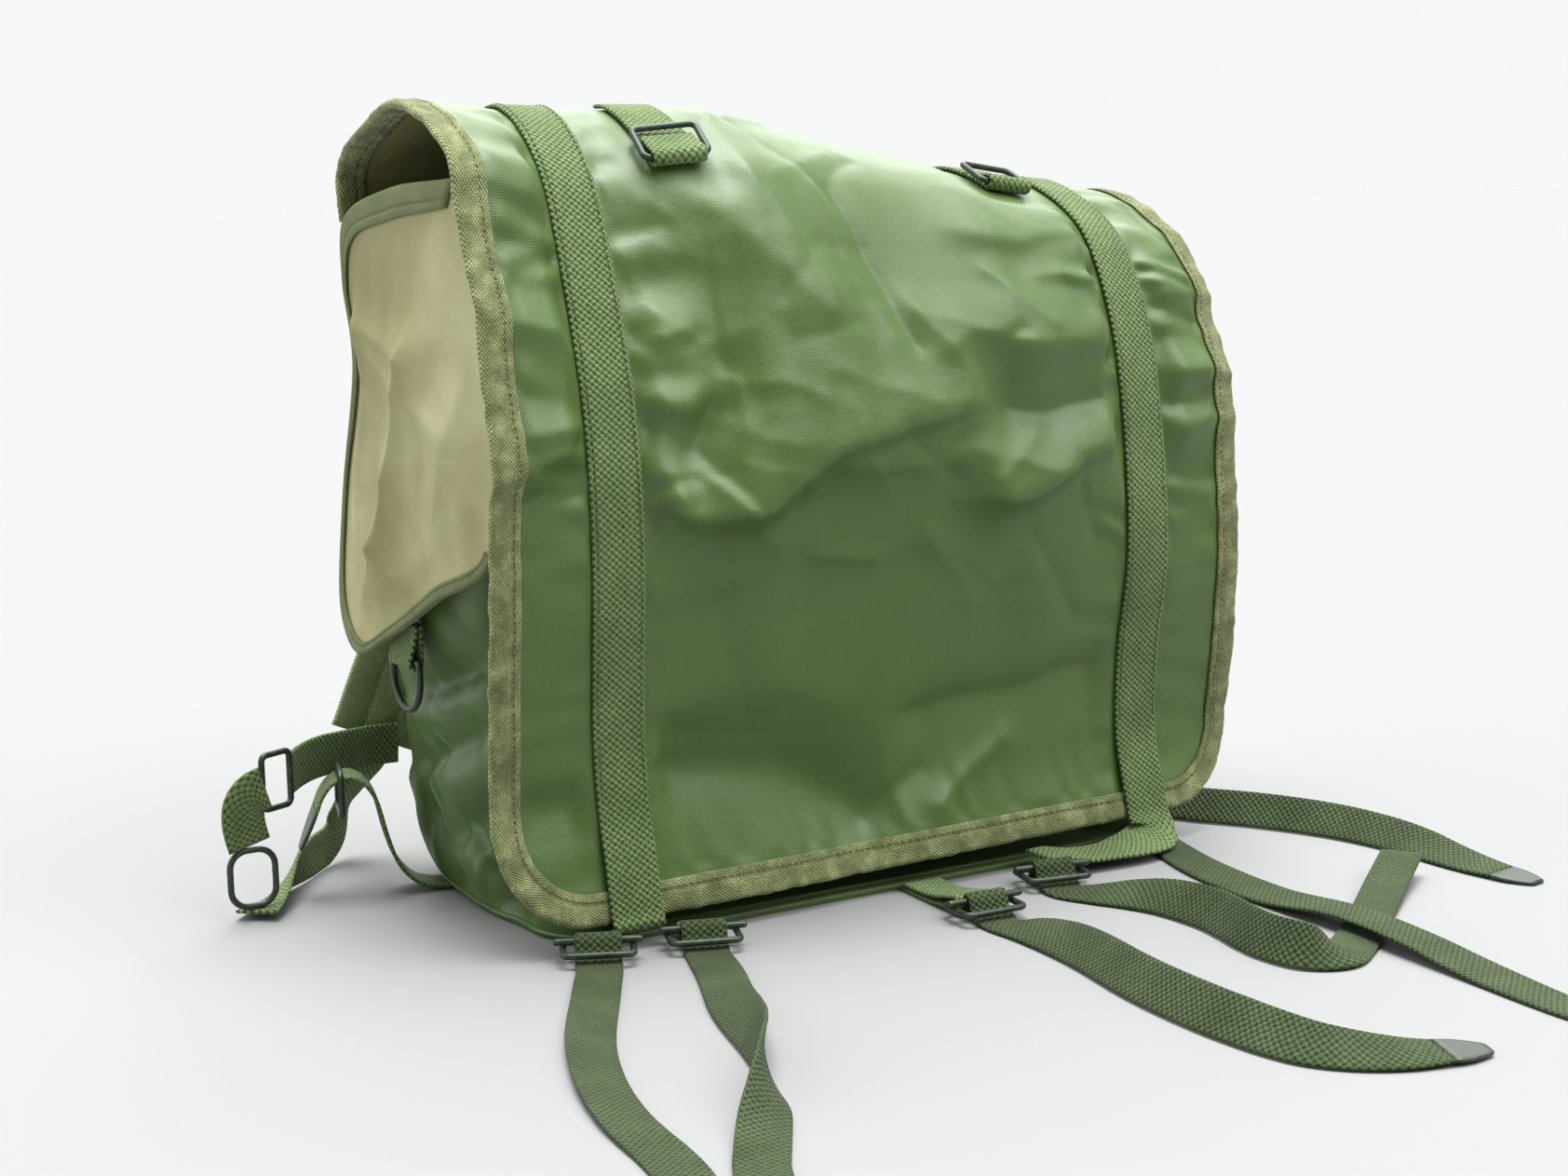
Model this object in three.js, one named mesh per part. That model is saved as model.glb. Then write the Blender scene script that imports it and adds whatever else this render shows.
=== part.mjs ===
// A military rucksack of coated cloth that stands on a flat surface: an open soft body, a long lid with
// bound edges that hangs down the front, webbing straps and steel hardware.
// Millimetres. X to the right seen from the front, Y to the back panel, Z up.
// The origin is at the middle of the base.
import * as THREE from "three";

// Cloth, webbing and wire
const CLOTH = 1.5;
const GAP = 0.4;
const LID_WEB = 25;
const LID_WEB_THICK = 2;
const FLOOR_WEB = 20;
const FLOOR_WEB_THICK = 1.8;
const TAPE = 1;
const TAPE_FOLD = 12.5;
const WIRE_RADIUS = 1.5;
const WIRE_SIDES = 6;
const FLOOR_CLEAR = 0.3;

// Body
const WALL = 1.5;
const BASE_THICK = 2;
const BODY_CORNER = 38;
const BODY_CORNER_STEPS = 4;
const SIDE_BOW = 3;
const RIM = {
  backLeft: 318, frontLeft: 330, backRight: 300, frontRight: 278,
  halfX: 187, backY: 67, frontY: -38,
};
// Level sections from the base to the rim; height is the share of the rim's own height.
const BODY_SECTIONS = [
  { height: 0.0, half: 163, front: -81, back: 79 },
  { height: 0.03, half: 169, front: -82, back: 83 },
  { height: 0.06, half: 173, front: -78, back: 84 },
  { height: 0.11, half: 177, front: -72, back: 85 },
  { height: 0.2, half: 181, front: -69, back: 85 },
  { height: 0.31, half: 184, front: -69, back: 85 },
  { height: 0.43, half: 187, front: -71, back: 84 },
  { height: 0.55, half: 187, front: -73, back: 82 },
  { height: 0.67, half: 187, front: -71, back: 78 },
  { height: 0.79, half: 187, front: -63, back: 72 },
  { height: 0.9, half: 187, front: -50, back: 68 },
  { height: 1.0, half: 187, front: -38, back: 67 },
];
// Pleats pressed into the left wall and the front corners; each is a hollow round a steep line.
const PLEATS = [
  { x: -185, y: -52, z: 95, slope: -0.25, width: 11, reach: 85, depth: 9 },
  { x: -183, y: -16, z: 60, slope: 0.3, width: 13, reach: 60, depth: 6 },
  { x: -180, y: 34, z: 40, slope: 0.35, width: 15, reach: 45, depth: 5 },
  { x: 185, y: -48, z: 90, slope: -0.25, width: 12, reach: 80, depth: 8 },
  { x: 183, y: 38, z: 45, slope: 0.3, width: 14, reach: 50, depth: 5 },
];
const PLEATS_FROM = 0.02;

// Lid
const LID_CENTRE = 7;
const LID_HALF = 200;
const LID_CORNER = 42;
const STRAP_OFFSET = 141;
const LID_STATIONS = [
  "seam", "nape", "ridge", "crown", "brow", "shoulder", "chest", "belly", "waist", "foot", "hem",
];
// Sections from the left edge to the right edge. Each station is [y, z], from the seam on the back panel over
// the crown and down the front to the hem.
const LID_SECTIONS = [
  { across: -200, seam: [68.5, 312], nape: [69, 336], ridge: [36, 353], crown: [-4, 361],
    brow: [-50, 339], shoulder: [-72, 287], chest: [-85, 232], belly: [-85, 166],
    waist: [-78, 96], foot: [-80, 48], hem: [-89, 12] },
  { across: -141, seam: [68.5, 310], nape: [69, 334], ridge: [36, 351], crown: [-4, 358],
    brow: [-42, 331], shoulder: [-63, 282], chest: [-78, 228], belly: [-82, 168],
    waist: [-77, 92], foot: [-81, 50], hem: [-88, 13] },
  { across: -50, seam: [68.5, 305], nape: [69, 329], ridge: [36, 349], crown: [-4, 356],
    brow: [-48, 332], shoulder: [-70, 284], chest: [-86, 228], belly: [-87, 165],
    waist: [-80, 92], foot: [-80, 50], hem: [-88, 14] },
  { across: 65, seam: [68.5, 299], nape: [69, 314], ridge: [36, 328], crown: [-2, 332],
    brow: [-46, 315], shoulder: [-69, 277], chest: [-87, 228], belly: [-89, 160],
    waist: [-81, 93], foot: [-79, 50], hem: [-87, 16] },
  { across: 141, seam: [68.5, 296], nape: [69, 307], ridge: [38, 319], crown: [4, 323],
    brow: [-42, 304], shoulder: [-64, 276], chest: [-79, 230], belly: [-87, 152],
    waist: [-79, 95], foot: [-78, 50], hem: [-86, 17] },
  { across: 200, seam: [68.5, 293], nape: [69, 303], ridge: [40, 312], crown: [8, 316],
    brow: [-36, 295], shoulder: [-57, 263], chest: [-75, 220], belly: [-84, 155],
    waist: [-81, 91], foot: [-75, 51], hem: [-83, 18] },
];
// Folds of the front panel between the straps, each a ridge or a hollow along a line of [across, along].
const LID_FOLDS = [
  { from: [-85, 150], to: [60, 255], width: 26, height: 6 },
  { from: [-110, 205], to: [20, 250], width: 22, height: -5 },
  { from: [-115, 292], to: [45, 282], width: 13, height: 5 },
  { from: [-90, 318], to: [60, 305], width: 20, height: -5 },
  { from: [70, 190], to: [112, 330], width: 18, height: -4 },
  { from: [-60, 405], to: [70, 395], width: 26, height: -4 },
];
const LID_ROW_STEP = 17.5;
const LID_CORNER_STEPS = 4;
const PANEL_STEPS = 9;
const MARGIN_SHARES = [1, 0.725, 0.36, 0];
const FOLD_FADE = 30;
// Lid straps lift off the cloth near the hem, to pass over its tape.
const STRAP_LIFT = TAPE + 2 * GAP;
const STRAP_LIFT_FROM = 48;
const STRAP_LIFT_TO = 22;
const LID_STRAP_START = 4;

// Side flaps, drawn in the plane of the side as [y, z] of the left one
const FLAP_X = 192.7;
const FLAP_CURL = 9;
const FLAP_CURL_FROM = 190;
const FLAP_CURL_REACH = 72;
const FLAP_CENTRE = [2, 232];
const FLAP_OUTLINE = [
  { at: "front top", y: -44, z: 329 },
  { at: "top", y: 12, z: 325 },
  { at: "rear top", y: 62, z: 314 },
  { at: "rear", y: 68, z: 286 },
  { at: "waist", y: 60, z: 246 },
  { at: "rear bulge", y: 82, z: 181 },
  { at: "rear low", y: 79, z: 138 },
  { at: "tip", y: 50, z: 117 },
  { at: "lower edge", y: 16, z: 128 },
  { at: "lower front", y: -30, z: 150 },
  { at: "front low", y: -74, z: 173 },
  { at: "front bulge", y: -75, z: 222 },
  { at: "front", y: -64, z: 278 },
];
const FLAP_STEPS = 3;
const FLAP_BOUND_SPANS = 10;
const FLAP_RINGS = [1, 0.885, 0.45];
const RIGHT_FLAP_DROP = { rear: 18, front: 52, shrink: 0.88 };

// Rings on the sides
const RING_WIRE = 1.6;
const RING_HALF = 15.5;
const RING_DEPTH = 23;
const RING_Y = 12;
const RING_BAR_Z = 118;
const RIGHT_RING_DROP = 44;
const RING_TAB = { rise: 17, straight: 8, bulge: 1.6, bulgeRise: 6, sewn: 4 };

// Wire frames on the crown
const TOP_FRAME = { half: 15, length: 20, corner: 3, lift: 1.8 };
const TOP_FRAMES = [
  { side: "left", across: -90, bar: 140 },
  { side: "right", across: 99, bar: 122 },
];
const TOP_TAB = { length: 62, back: 12, gap: 0.7, bulge: 1.2, bulgeRun: 6, clear: 2 };

// Buckles on the surface; heading is the way that the strap leaves, in degrees from +X
const BUCKLE = { half: 15, length: 20, corner: 3, height: 6, barRadius: 1.6, barHalf: 19 };
const BUCKLE_BAR_Z = BUCKLE.height + WIRE_RADIUS + GAP + BUCKLE.barRadius;
const BUCKLES = [
  { name: "outer_left", x: -157, y: -99, heading: 245 },
  { name: "inner_left", x: -111, y: -108, heading: 250 },
  { name: "inner_right", x: 14, y: -141, heading: 267 },
  { name: "outer_right", x: 70, y: -116, heading: 258 },
];

// Way of a strap over its buckle's bar: in from below, round the bar, and out to the surface
const CLIMB_IN = [{ run: -8, z: 1.6 }, { run: -4.8, z: 4.4 }];
const CLIMB_ANGLES = [200, 145, 90, 35];
const CLIMB_OUT = [{ run: 3.5, z: 7.1 }, { run: 5.4, z: 4.2 }, { run: 8.6, z: 1.9 }];
const FOLD_ANGLES = [0, 30, 60, 90, 120, 150, 180];
const INNER_TAB = { lowShare: 0.5, highShare: 0.45, bulge: 0.8, setback: 4 };

// Straps on the surface. tilt turns the webbing about its length, from flat (0) to its edge (90),
// and rise lifts it.
const STRAP_ROUTES = {
  floor_strap_outer_left: [
    { x: -164, y: -114, rise: 0, tilt: 0 },
    { x: -180, y: -143, rise: 0, tilt: 4 },
    { x: -207, y: -193, rise: 0, tilt: 8 },
    { x: -223, y: -235, rise: 0, tilt: 8 },
    { x: -231, y: -271, rise: 0, tilt: 4 },
    { x: -234, y: -306, rise: 0, tilt: 0 },
    { x: -238, y: -330, rise: 0, tilt: 0 },
    { x: -247, y: -362, rise: 0, tilt: 0 },
  ],
  floor_strap_inner_left: [
    { x: -116, y: -122, rise: 0, tilt: 0 },
    { x: -126, y: -150, rise: 0, tilt: -8 },
    { x: -143, y: -190, rise: 0, tilt: -28 },
    { x: -159, y: -236, rise: 0, tilt: -62 },
    { x: -172, y: -264, rise: 0, tilt: -92 },
    { x: -181, y: -284, rise: 0, tilt: -128 },
    { x: -196, y: -306, rise: 0, tilt: -166 },
    { x: -214, y: -336, rise: 0, tilt: -180 },
    { x: -223, y: -362, rise: 0, tilt: -180 },
  ],
  floor_strap_inner_right: [
    { x: 13, y: -157, rise: 0, tilt: 0 },
    { x: 14, y: -180, rise: 0, tilt: -20 },
    { x: 11, y: -215, rise: 0, tilt: -40 },
    { x: 2, y: -270, rise: 0, tilt: -50 },
    { x: 2, y: -322, rise: 0, tilt: -48 },
    { x: 12, y: -357, rise: 0, tilt: -34 },
    { x: 38, y: -376, rise: 0.4, tilt: -14 },
    { x: 51, y: -379, rise: 1.2, tilt: -4 },
  ],
  floor_strap_outer_right: [
    { x: 67, y: -132, rise: 0, tilt: 0 },
    { x: 75, y: -150, rise: 0, tilt: -14 },
    { x: 85, y: -172, rise: 0, tilt: -34 },
    { x: 87, y: -207, rise: 0, tilt: -52 },
    { x: 79, y: -250, rise: 0, tilt: -60 },
    { x: 84, y: -272, rise: 0, tilt: -56 },
    { x: 99, y: -276, rise: 0, tilt: -24 },
    { x: 118, y: -264, rise: 0, tilt: -6 },
    { x: 150, y: -240, rise: 0, tilt: 0 },
    { x: 188, y: -212, rise: 4, tilt: 0 },
    { x: 216, y: -193, rise: 9, tilt: 0 },
  ],
  base_strap_right: [
    { x: 162.6, y: -74, rise: 0, tilt: 0 },
    { x: 156, y: -92, rise: 0, tilt: 0 },
    { x: 141, y: -142, rise: 0, tilt: -6 },
    { x: 136, y: -195, rise: 0.6, tilt: -6 },
    { x: 137, y: -235, rise: 5.2, tilt: 0 },
    { x: 135, y: -282, rise: 5, tilt: 0 },
    { x: 133, y: -322, rise: 0.8, tilt: -4 },
    { x: 131, y: -368, rise: 0, tilt: 0 },
    { x: 133, y: -402, rise: 0, tilt: 0 },
  ],
  shoulder_lower_right: [
    { x: 174.4, y: 46, rise: 0, tilt: 0 },
    { x: 181, y: 6, rise: 0, tilt: -8 },
    { x: 191, y: -32, rise: 0, tilt: -30 },
    { x: 200, y: -58, rise: 0, tilt: -44 },
    { x: 221, y: -91, rise: 0, tilt: -46 },
    { x: 238, y: -127, rise: 0, tilt: -42 },
    { x: 246, y: -164, rise: 0, tilt: -32 },
    { x: 248, y: -200, rise: 0, tilt: -12 },
    { x: 251, y: -222, rise: 0.8, tilt: 0 },
  ],
};
const STRAP_SAMPLE = 16;
const TIPPED_STRAPS = ["floor_strap_inner_left", "floor_strap_inner_right", "shoulder_lower_right"];
// Metal ends of the straps: run from the webbing's end and share of its width
const TIP_SHAPE = [{ run: GAP, share: 1 }, { run: 11, share: 0.86 }, { run: 20, share: 0.45 }];

// Free ends of the lid straps below the hem; turn and lean give the direction of the webbing's width.
const LID_STRAP_ENDS = {
  left: [
    { x: -134, y: -93.9, z: 11.4, turn: 0, lean: 0 },
    { x: -134, y: -93, z: 8.9, turn: 0, lean: 0 },
    { x: -134, y: -89.6, z: 8.7, turn: 0, lean: 0 },
  ],
  right: [
    { x: 148, y: -92.6, z: 14.6, turn: 0, lean: 0 },
    { x: 147.5, y: -95, z: 11, turn: -8, lean: -6 },
    { x: 144, y: -98, z: 9, turn: -34, lean: -14 },
    { x: 137, y: -100.5, z: 8, turn: -56, lean: -12 },
    { x: 127, y: -101.5, z: 7, turn: -74, lean: -6 },
    { x: 114, y: -101, z: 6, turn: -86, lean: 0 },
    { x: 98, y: -100, z: 6.5, turn: -90, lean: 0 },
    { x: 86, y: -99.5, z: 9.0, turn: -90, lean: 0 },
    { x: 76, y: -99.5, z: 9.0, turn: -90, lean: 0 },
  ],
};

// Shoulder straps
const PAD = { width: 45, thick: 4 };
const PAD_ROUTE = [
  { x: -52, y: 70.1, z: 292 },
  { x: -60, y: 79, z: 252 },
  { x: -88, y: 88, z: 205 },
  { x: -126, y: 95, z: 158 },
  { x: -158, y: 98, z: 110 },
  { x: -179, y: 98, z: 64 },
];
const SHOULDER_WEB_ROUTE = [
  { x: -168, y: 94.6, z: 61 },
  { x: -184, y: 91, z: 62 },
  { x: -202, y: 79, z: 64 },
  { x: -214, y: 72, z: 65 },
  { x: -226, y: 63, z: 65 },
  { x: -237.2, y: 51, z: 64 },
];
const SHOULDER_BUCKLE = { x: -246, y: 45.5, z: 63, heading: 205, half: 12.5, length: 17, corner: 3 };
const LINK_HEADING = 180;
const LINK_ROUTE = [
  { x: -253.6, y: 39, z: 62, turn: LINK_HEADING, lean: 90 },
  { x: -258.6, y: 39.2, z: 60.5, turn: LINK_HEADING, lean: 60 },
  { x: -262.4, y: 39.8, z: 56.6, turn: LINK_HEADING, lean: 30 },
  { x: -263.8, y: 40.6, z: 51, turn: LINK_HEADING, lean: 0 },
  { x: -263, y: 41.6, z: 43, turn: LINK_HEADING, lean: -6 },
  { x: -261, y: 42.4, z: 35.4, turn: LINK_HEADING, lean: -6 },
];
const LOWER_RING = { x: -260, y: 43, z: 20, half: 10.5, length: 26, corner: 8, turn: 0 };
const FLOOR_LINK_ROUTE = [
  { x: -260, y: 41, z: 4.4, turn: -40, lean: 0 },
  { x: -249, y: 54, z: 5, turn: -40, lean: 22 },
  { x: -230, y: 76, z: 10.5, turn: -40, lean: 68 },
  { x: -214, y: 94.2, z: 11.2, turn: -20, lean: 90 },
  { x: -203, y: 106.6, z: 11.4, turn: 41, lean: 92 },
  { x: -197.8, y: 111.2, z: 13, turn: 41, lean: 120 },
  { x: -193.9, y: 114.5, z: 18, turn: 41, lean: 150 },
  { x: -192.5, y: 115.7, z: 25, turn: 41, lean: 180 },
  { x: -187, y: 110, z: 37, turn: 30, lean: 180 },
  { x: -181, y: 103.4, z: 50, turn: 10, lean: 180 },
  { x: -178.5, y: 101.4, z: 60, turn: 2, lean: 180 },
];
const ADJUSTER = { x: -212, y: 57.5, z: 50.7, half: 12.5, length: 20, corner: 3, turn: 74 };
const LOWER_STRAP_ROUTE = [
  { x: -163.7, y: 48, z: 1.3, turn: 84, lean: 0 },
  { x: -178, y: 50, z: 4.6, turn: 78, lean: 0 },
  { x: -187.5, y: 51.5, z: 15, turn: 76, lean: 0 },
  { x: -193, y: 52.5, z: 32, turn: 75, lean: 0 },
  { x: -197, y: 53.5, z: 48, turn: 74, lean: 0 },
  { x: -204, y: 55.3, z: 57, turn: 74, lean: 0 },
  { x: -212, y: 57.5, z: 58, turn: 74, lean: 0 },
  { x: -219, y: 59.5, z: 52, turn: 74, lean: 0 },
  { x: -223, y: 60.6, z: 43, turn: 74, lean: 0 },
];
const SAMPLE = { pad: 24, web: 10, link: 6, floorLink: 10, lower: 8 };
const RIGHT_BUCKLE = { half: 12.5, length: 20, corner: 3 };

const vec = (x, y, z) => new THREE.Vector3(x, y, z);
const UP = vec(0, 0, 1);
const radians = THREE.MathUtils.degToRad;

const rucksack = new THREE.Group();

function add(name, geometry, colour, roughness, metalness) {
  const material = new THREE.MeshStandardMaterial({ color: colour, roughness, metalness });
  const mesh = new THREE.Mesh(geometry, material);
  mesh.name = name;
  rucksack.add(mesh);
  return mesh;
}
const addCloth = (name, geometry) => add(name, geometry, 0x5f7f4c, 0.5, 0);
const addLining = (name, geometry) => add(name, geometry, 0xa09470, 0.7, 0);
const addTape = (name, geometry) => add(name, geometry, 0x85875c, 0.9, 0);
const addWebbing = (name, geometry) => add(name, geometry, 0x5c6d4c, 0.9, 0);
const addSteel = (name, geometry) => add(name, geometry, 0x3c4a40, 0.45, 0.8);

// Smooth curve through a table: value at x from known places and values
function spline(places, values, x) {
  let i = 0;
  while (i < places.length - 2 && x > places[i + 1]) i += 1;
  const slope = (k) => {
    const before = Math.max(k - 1, 0);
    const after = Math.min(k + 1, places.length - 1);
    return (values[after] - values[before]) / (places[after] - places[before]);
  };
  const span = places[i + 1] - places[i];
  const t = (x - places[i]) / span;
  const t2 = t * t;
  const t3 = t2 * t;
  const ends = (2 * t3 - 3 * t2 + 1) * values[i] + (3 * t2 - 2 * t3) * values[i + 1];
  return ends + span * ((t3 - 2 * t2 + t) * slope(i) + (t3 - t2) * slope(i + 1));
}

function smoothStep(low, high, x) {
  const t = THREE.MathUtils.clamp((x - low) / (high - low), 0, 1);
  return t * t * (3 - 2 * t);
}

// Closed solid from points and triangles, turned so that its faces point out
function closedGeometry(points, triangles) {
  const part = new THREE.Vector3();
  let volume = 0;
  for (const [a, b, c] of triangles) volume += points[a].dot(part.crossVectors(points[b], points[c]));
  const turned = volume < 0 ? triangles.map(([a, b, c]) => [a, c, b]) : triangles;
  const geometry = new THREE.BufferGeometry().setFromPoints(points);
  geometry.setIndex(turned.flat());
  geometry.computeVertexNormals();
  return geometry;
}

// Triangles between two loops of equal length
function bandTriangles(first, second, count, closed) {
  const triangles = [];
  const last = closed ? count : count - 1;
  for (let i = 0; i < last; i += 1) {
    const j = (i + 1) % count;
    triangles.push([first + i, first + j, second + j], [first + i, second + j, second + i]);
  }
  return triangles;
}

const CAP_QUAD = [[0, 1, 2], [0, 2, 3]];
const CAP_U = [[0, 1, 2], [0, 2, 7], [7, 2, 3], [7, 3, 6], [6, 3, 4], [6, 4, 5]];
const capFan = (count) => Array.from({ length: count - 2 }, (_, i) => [0, i + 1, i + 2]);

// Solid through a row of like sections, either a closed loop or capped at both ends
function tubeSolid(sections, cap) {
  const count = sections[0].length;
  const points = sections.flat();
  const triangles = [];
  const steps = cap ? sections.length - 1 : sections.length;
  for (let row = 0; row < steps; row += 1) {
    const next = (row + 1) % sections.length;
    triangles.push(...bandTriangles(row * count, next * count, count, true));
  }
  if (cap) {
    const end = (sections.length - 1) * count;
    for (const [a, b, c] of cap) triangles.push([a, c, b], [end + a, end + b, end + c]);
  }
  return closedGeometry(points, triangles);
}

// Two-sided sheet from matching grids of rows and columns
function sheetSolid(outer, inner) {
  const rows = outer.length;
  const columns = outer[0].length;
  const points = [...outer.flat(), ...inner.flat()];
  const under = rows * columns;
  const triangles = [];
  for (let row = 0; row < rows - 1; row += 1) {
    const top = bandTriangles(row * columns, (row + 1) * columns, columns, false);
    for (const [a, b, c] of top) triangles.push([a, b, c], [under + a, under + c, under + b]);
  }
  const rim = [];
  for (let column = 0; column < columns; column += 1) rim.push(column);
  for (let row = 1; row < rows; row += 1) rim.push(row * columns + columns - 1);
  for (let column = columns - 2; column >= 0; column -= 1) rim.push((rows - 1) * columns + column);
  for (let row = rows - 2; row > 0; row -= 1) rim.push(row * columns);
  rim.forEach((a, i) => {
    const b = rim[(i + 1) % rim.length];
    triangles.push([a, under + b, b], [a, under + a, under + b]);
  });
  return closedGeometry(points, triangles);
}

// Cross-section of a strap at a point, from its width and face directions
function strapSection(point, across, face, width, thick) {
  const corners = [[-1, -1], [1, -1], [1, 1], [-1, 1]];
  return corners.map(([i, j]) => point.clone()
    .addScaledVector(across, i * width / 2)
    .addScaledVector(face, j * thick / 2));
}

const directionOf = (turn, lean) => vec(
  Math.cos(radians(turn)) * Math.cos(radians(lean)),
  Math.sin(radians(turn)) * Math.cos(radians(lean)),
  Math.sin(radians(lean)),
);

// Even samples of a route's columns along its length
function sampleRoute(rows, step) {
  const places = [0];
  for (let i = 1; i < rows.length; i += 1) {
    const height = (rows[i].z ?? 0) - (rows[i - 1].z ?? 0);
    places.push(places[i - 1] + Math.hypot(rows[i].x - rows[i - 1].x, rows[i].y - rows[i - 1].y, height));
  }
  const length = places[places.length - 1];
  const count = Math.max(Math.round(length / step), rows.length - 1);
  const names = Object.keys(rows[0]);
  return Array.from({ length: count + 1 }, (_, i) => Object.fromEntries(
    names.map((name) => [name, spline(places, rows.map((row) => row[name]), length * i / count)]),
  ));
}

function tangentAt(points, i) {
  const before = points[Math.max(i - 1, 0)];
  const after = points[Math.min(i + 1, points.length - 1)];
  return after.clone().sub(before).normalize();
}

// Sections of a strap whose width follows the directions given
function ribbonSections(points, widths, width, thick) {
  return points.map((point, i) => {
    const face = widths[i].clone().cross(tangentAt(points, i)).normalize();
    const across = tangentAt(points, i).cross(face).normalize();
    return strapSection(point, across, face, width, thick);
  });
}

// A strap in the air whose width direction its route gives
function turnedStrap(route, step) {
  const rows = sampleRoute(route, step);
  const points = rows.map((row) => vec(row.x, row.y, row.z));
  const widths = rows.map((row) => directionOf(row.turn, row.lean));
  return ribbonSections(points, widths, FLOOR_WEB, FLOOR_WEB_THICK);
}

// A strap lying on the surface: its height follows from its tilt
function lyingRows(route, step) {
  const rows = sampleRoute(route, step);
  const points = rows.map((row) => {
    const edge = Math.abs(Math.sin(radians(row.tilt))) * FLOOR_WEB / 2;
    const flat = Math.abs(Math.cos(radians(row.tilt))) * FLOOR_WEB_THICK / 2;
    return vec(row.x, row.y, row.rise + edge + flat + FLOOR_CLEAR);
  });
  const widths = points.map((_, i) => {
    const level = tangentAt(points, i).setZ(0).normalize().cross(UP);
    return level.multiplyScalar(Math.cos(radians(rows[i].tilt)))
      .addScaledVector(UP, Math.sin(radians(rows[i].tilt)));
  });
  return { points, widths };
}

// Outline of a wire frame in its own plane: length along y from the bar at 0, half the width along x
function frameOutline(half, length, corner) {
  const centres = [[half - corner, corner, -90], [half - corner, length - corner, 0],
    [corner - half, length - corner, 90], [corner - half, corner, 180]];
  return centres.flatMap(([x, y, from]) => [0, 45, 90].map((turn) => [
    x + corner * Math.cos(radians(from + turn)), y + corner * Math.sin(radians(from + turn)),
  ]));
}

const wireAngles = Array.from({ length: WIRE_SIDES }, (_, k) => 2 * Math.PI * (k + 0.5) / WIRE_SIDES);

// Wire bent round a flat closed outline
function wireLoop(outline, radius) {
  const count = outline.length;
  const sections = outline.map(([x, y], i) => {
    const before = outline[(i + count - 1) % count];
    const after = outline[(i + 1) % count];
    const along = vec(after[0] - before[0], after[1] - before[1], 0).normalize();
    const outward = along.clone().cross(UP);
    return wireAngles.map((angle) => vec(x, y, 0)
      .addScaledVector(outward, radius * Math.cos(angle))
      .addScaledVector(UP, radius * Math.sin(angle)));
  });
  return tubeSolid(sections, null);
}

// Straight round bar along x
function barSolid(half, radius) {
  const sections = [-half, half].map((x) => wireAngles.map((angle) => vec(
    x, radius * Math.cos(angle), radius * Math.sin(angle),
  )));
  return tubeSolid(sections, capFan(WIRE_SIDES));
}

// Body

function rimHeight(x, y) {
  const right = THREE.MathUtils.clamp((x / RIM.halfX + 1) / 2, 0, 1);
  const front = THREE.MathUtils.clamp((RIM.backY - y) / (RIM.backY - RIM.frontY), 0, 1);
  const back = RIM.backLeft + (RIM.backRight - RIM.backLeft) * right;
  return back + (RIM.frontLeft + (RIM.frontRight - RIM.frontLeft) * right - back) * front;
}

// Round-cornered outline with bowed sides, as [x, y] with its outward direction
function bodyOutline(half, front, back, corner) {
  const corners = [
    { x: half - corner, y: front + corner, from: -90, sideSteps: 6 },
    { x: half - corner, y: back - corner, from: 0, sideSteps: 8 },
    { x: corner - half, y: back - corner, from: 90, sideSteps: 8 },
    { x: corner - half, y: front + corner, from: 180, sideSteps: 7 },
  ];
  const outline = [];
  corners.forEach((place, k) => {
    for (let i = 0; i <= BODY_CORNER_STEPS; i += 1) {
      const angle = radians(place.from + 90 * i / BODY_CORNER_STEPS);
      const out = [Math.cos(angle), Math.sin(angle)];
      outline.push({ x: place.x + corner * out[0], y: place.y + corner * out[1], out });
    }
    const start = outline[outline.length - 1];
    const next = corners[(k + 1) % corners.length];
    const end = { x: next.x + corner * start.out[0], y: next.y + corner * start.out[1] };
    const bow = SIDE_BOW * Math.round(Math.abs(start.out[0]));
    for (let i = 1; i < place.sideSteps; i += 1) {
      const t = i / place.sideSteps;
      const swell = bow * 4 * t * (1 - t);
      outline.push({
        x: start.x + (end.x - start.x) * t + swell * start.out[0],
        y: start.y + (end.y - start.y) * t,
        out: start.out,
      });
    }
  });
  return outline;
}

function pleatDepth(x, y, z) {
  return PLEATS.reduce((sum, pleat) => {
    if (Math.sign(pleat.x) !== Math.sign(x) || Math.abs(x) < RIM.halfX / 2) return sum;
    const side = (y - pleat.y - pleat.slope * (z - pleat.z)) / pleat.width;
    const level = (z - pleat.z) / pleat.reach;
    return sum + pleat.depth * Math.exp(-side * side - level * level * level * level);
  }, 0);
}

function bodyRow(section, inset, height) {
  const outline = bodyOutline(section.half - inset, section.front + inset, section.back - inset,
    BODY_CORNER - inset);
  return outline.map(({ x, y, out }) => {
    const z = height ?? section.height * rimHeight(x, y);
    const press = section.height > PLEATS_FROM ? pleatDepth(x, y, z) : 0;
    return vec(x - press * out[0], y - press * out[1], z);
  });
}

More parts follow.
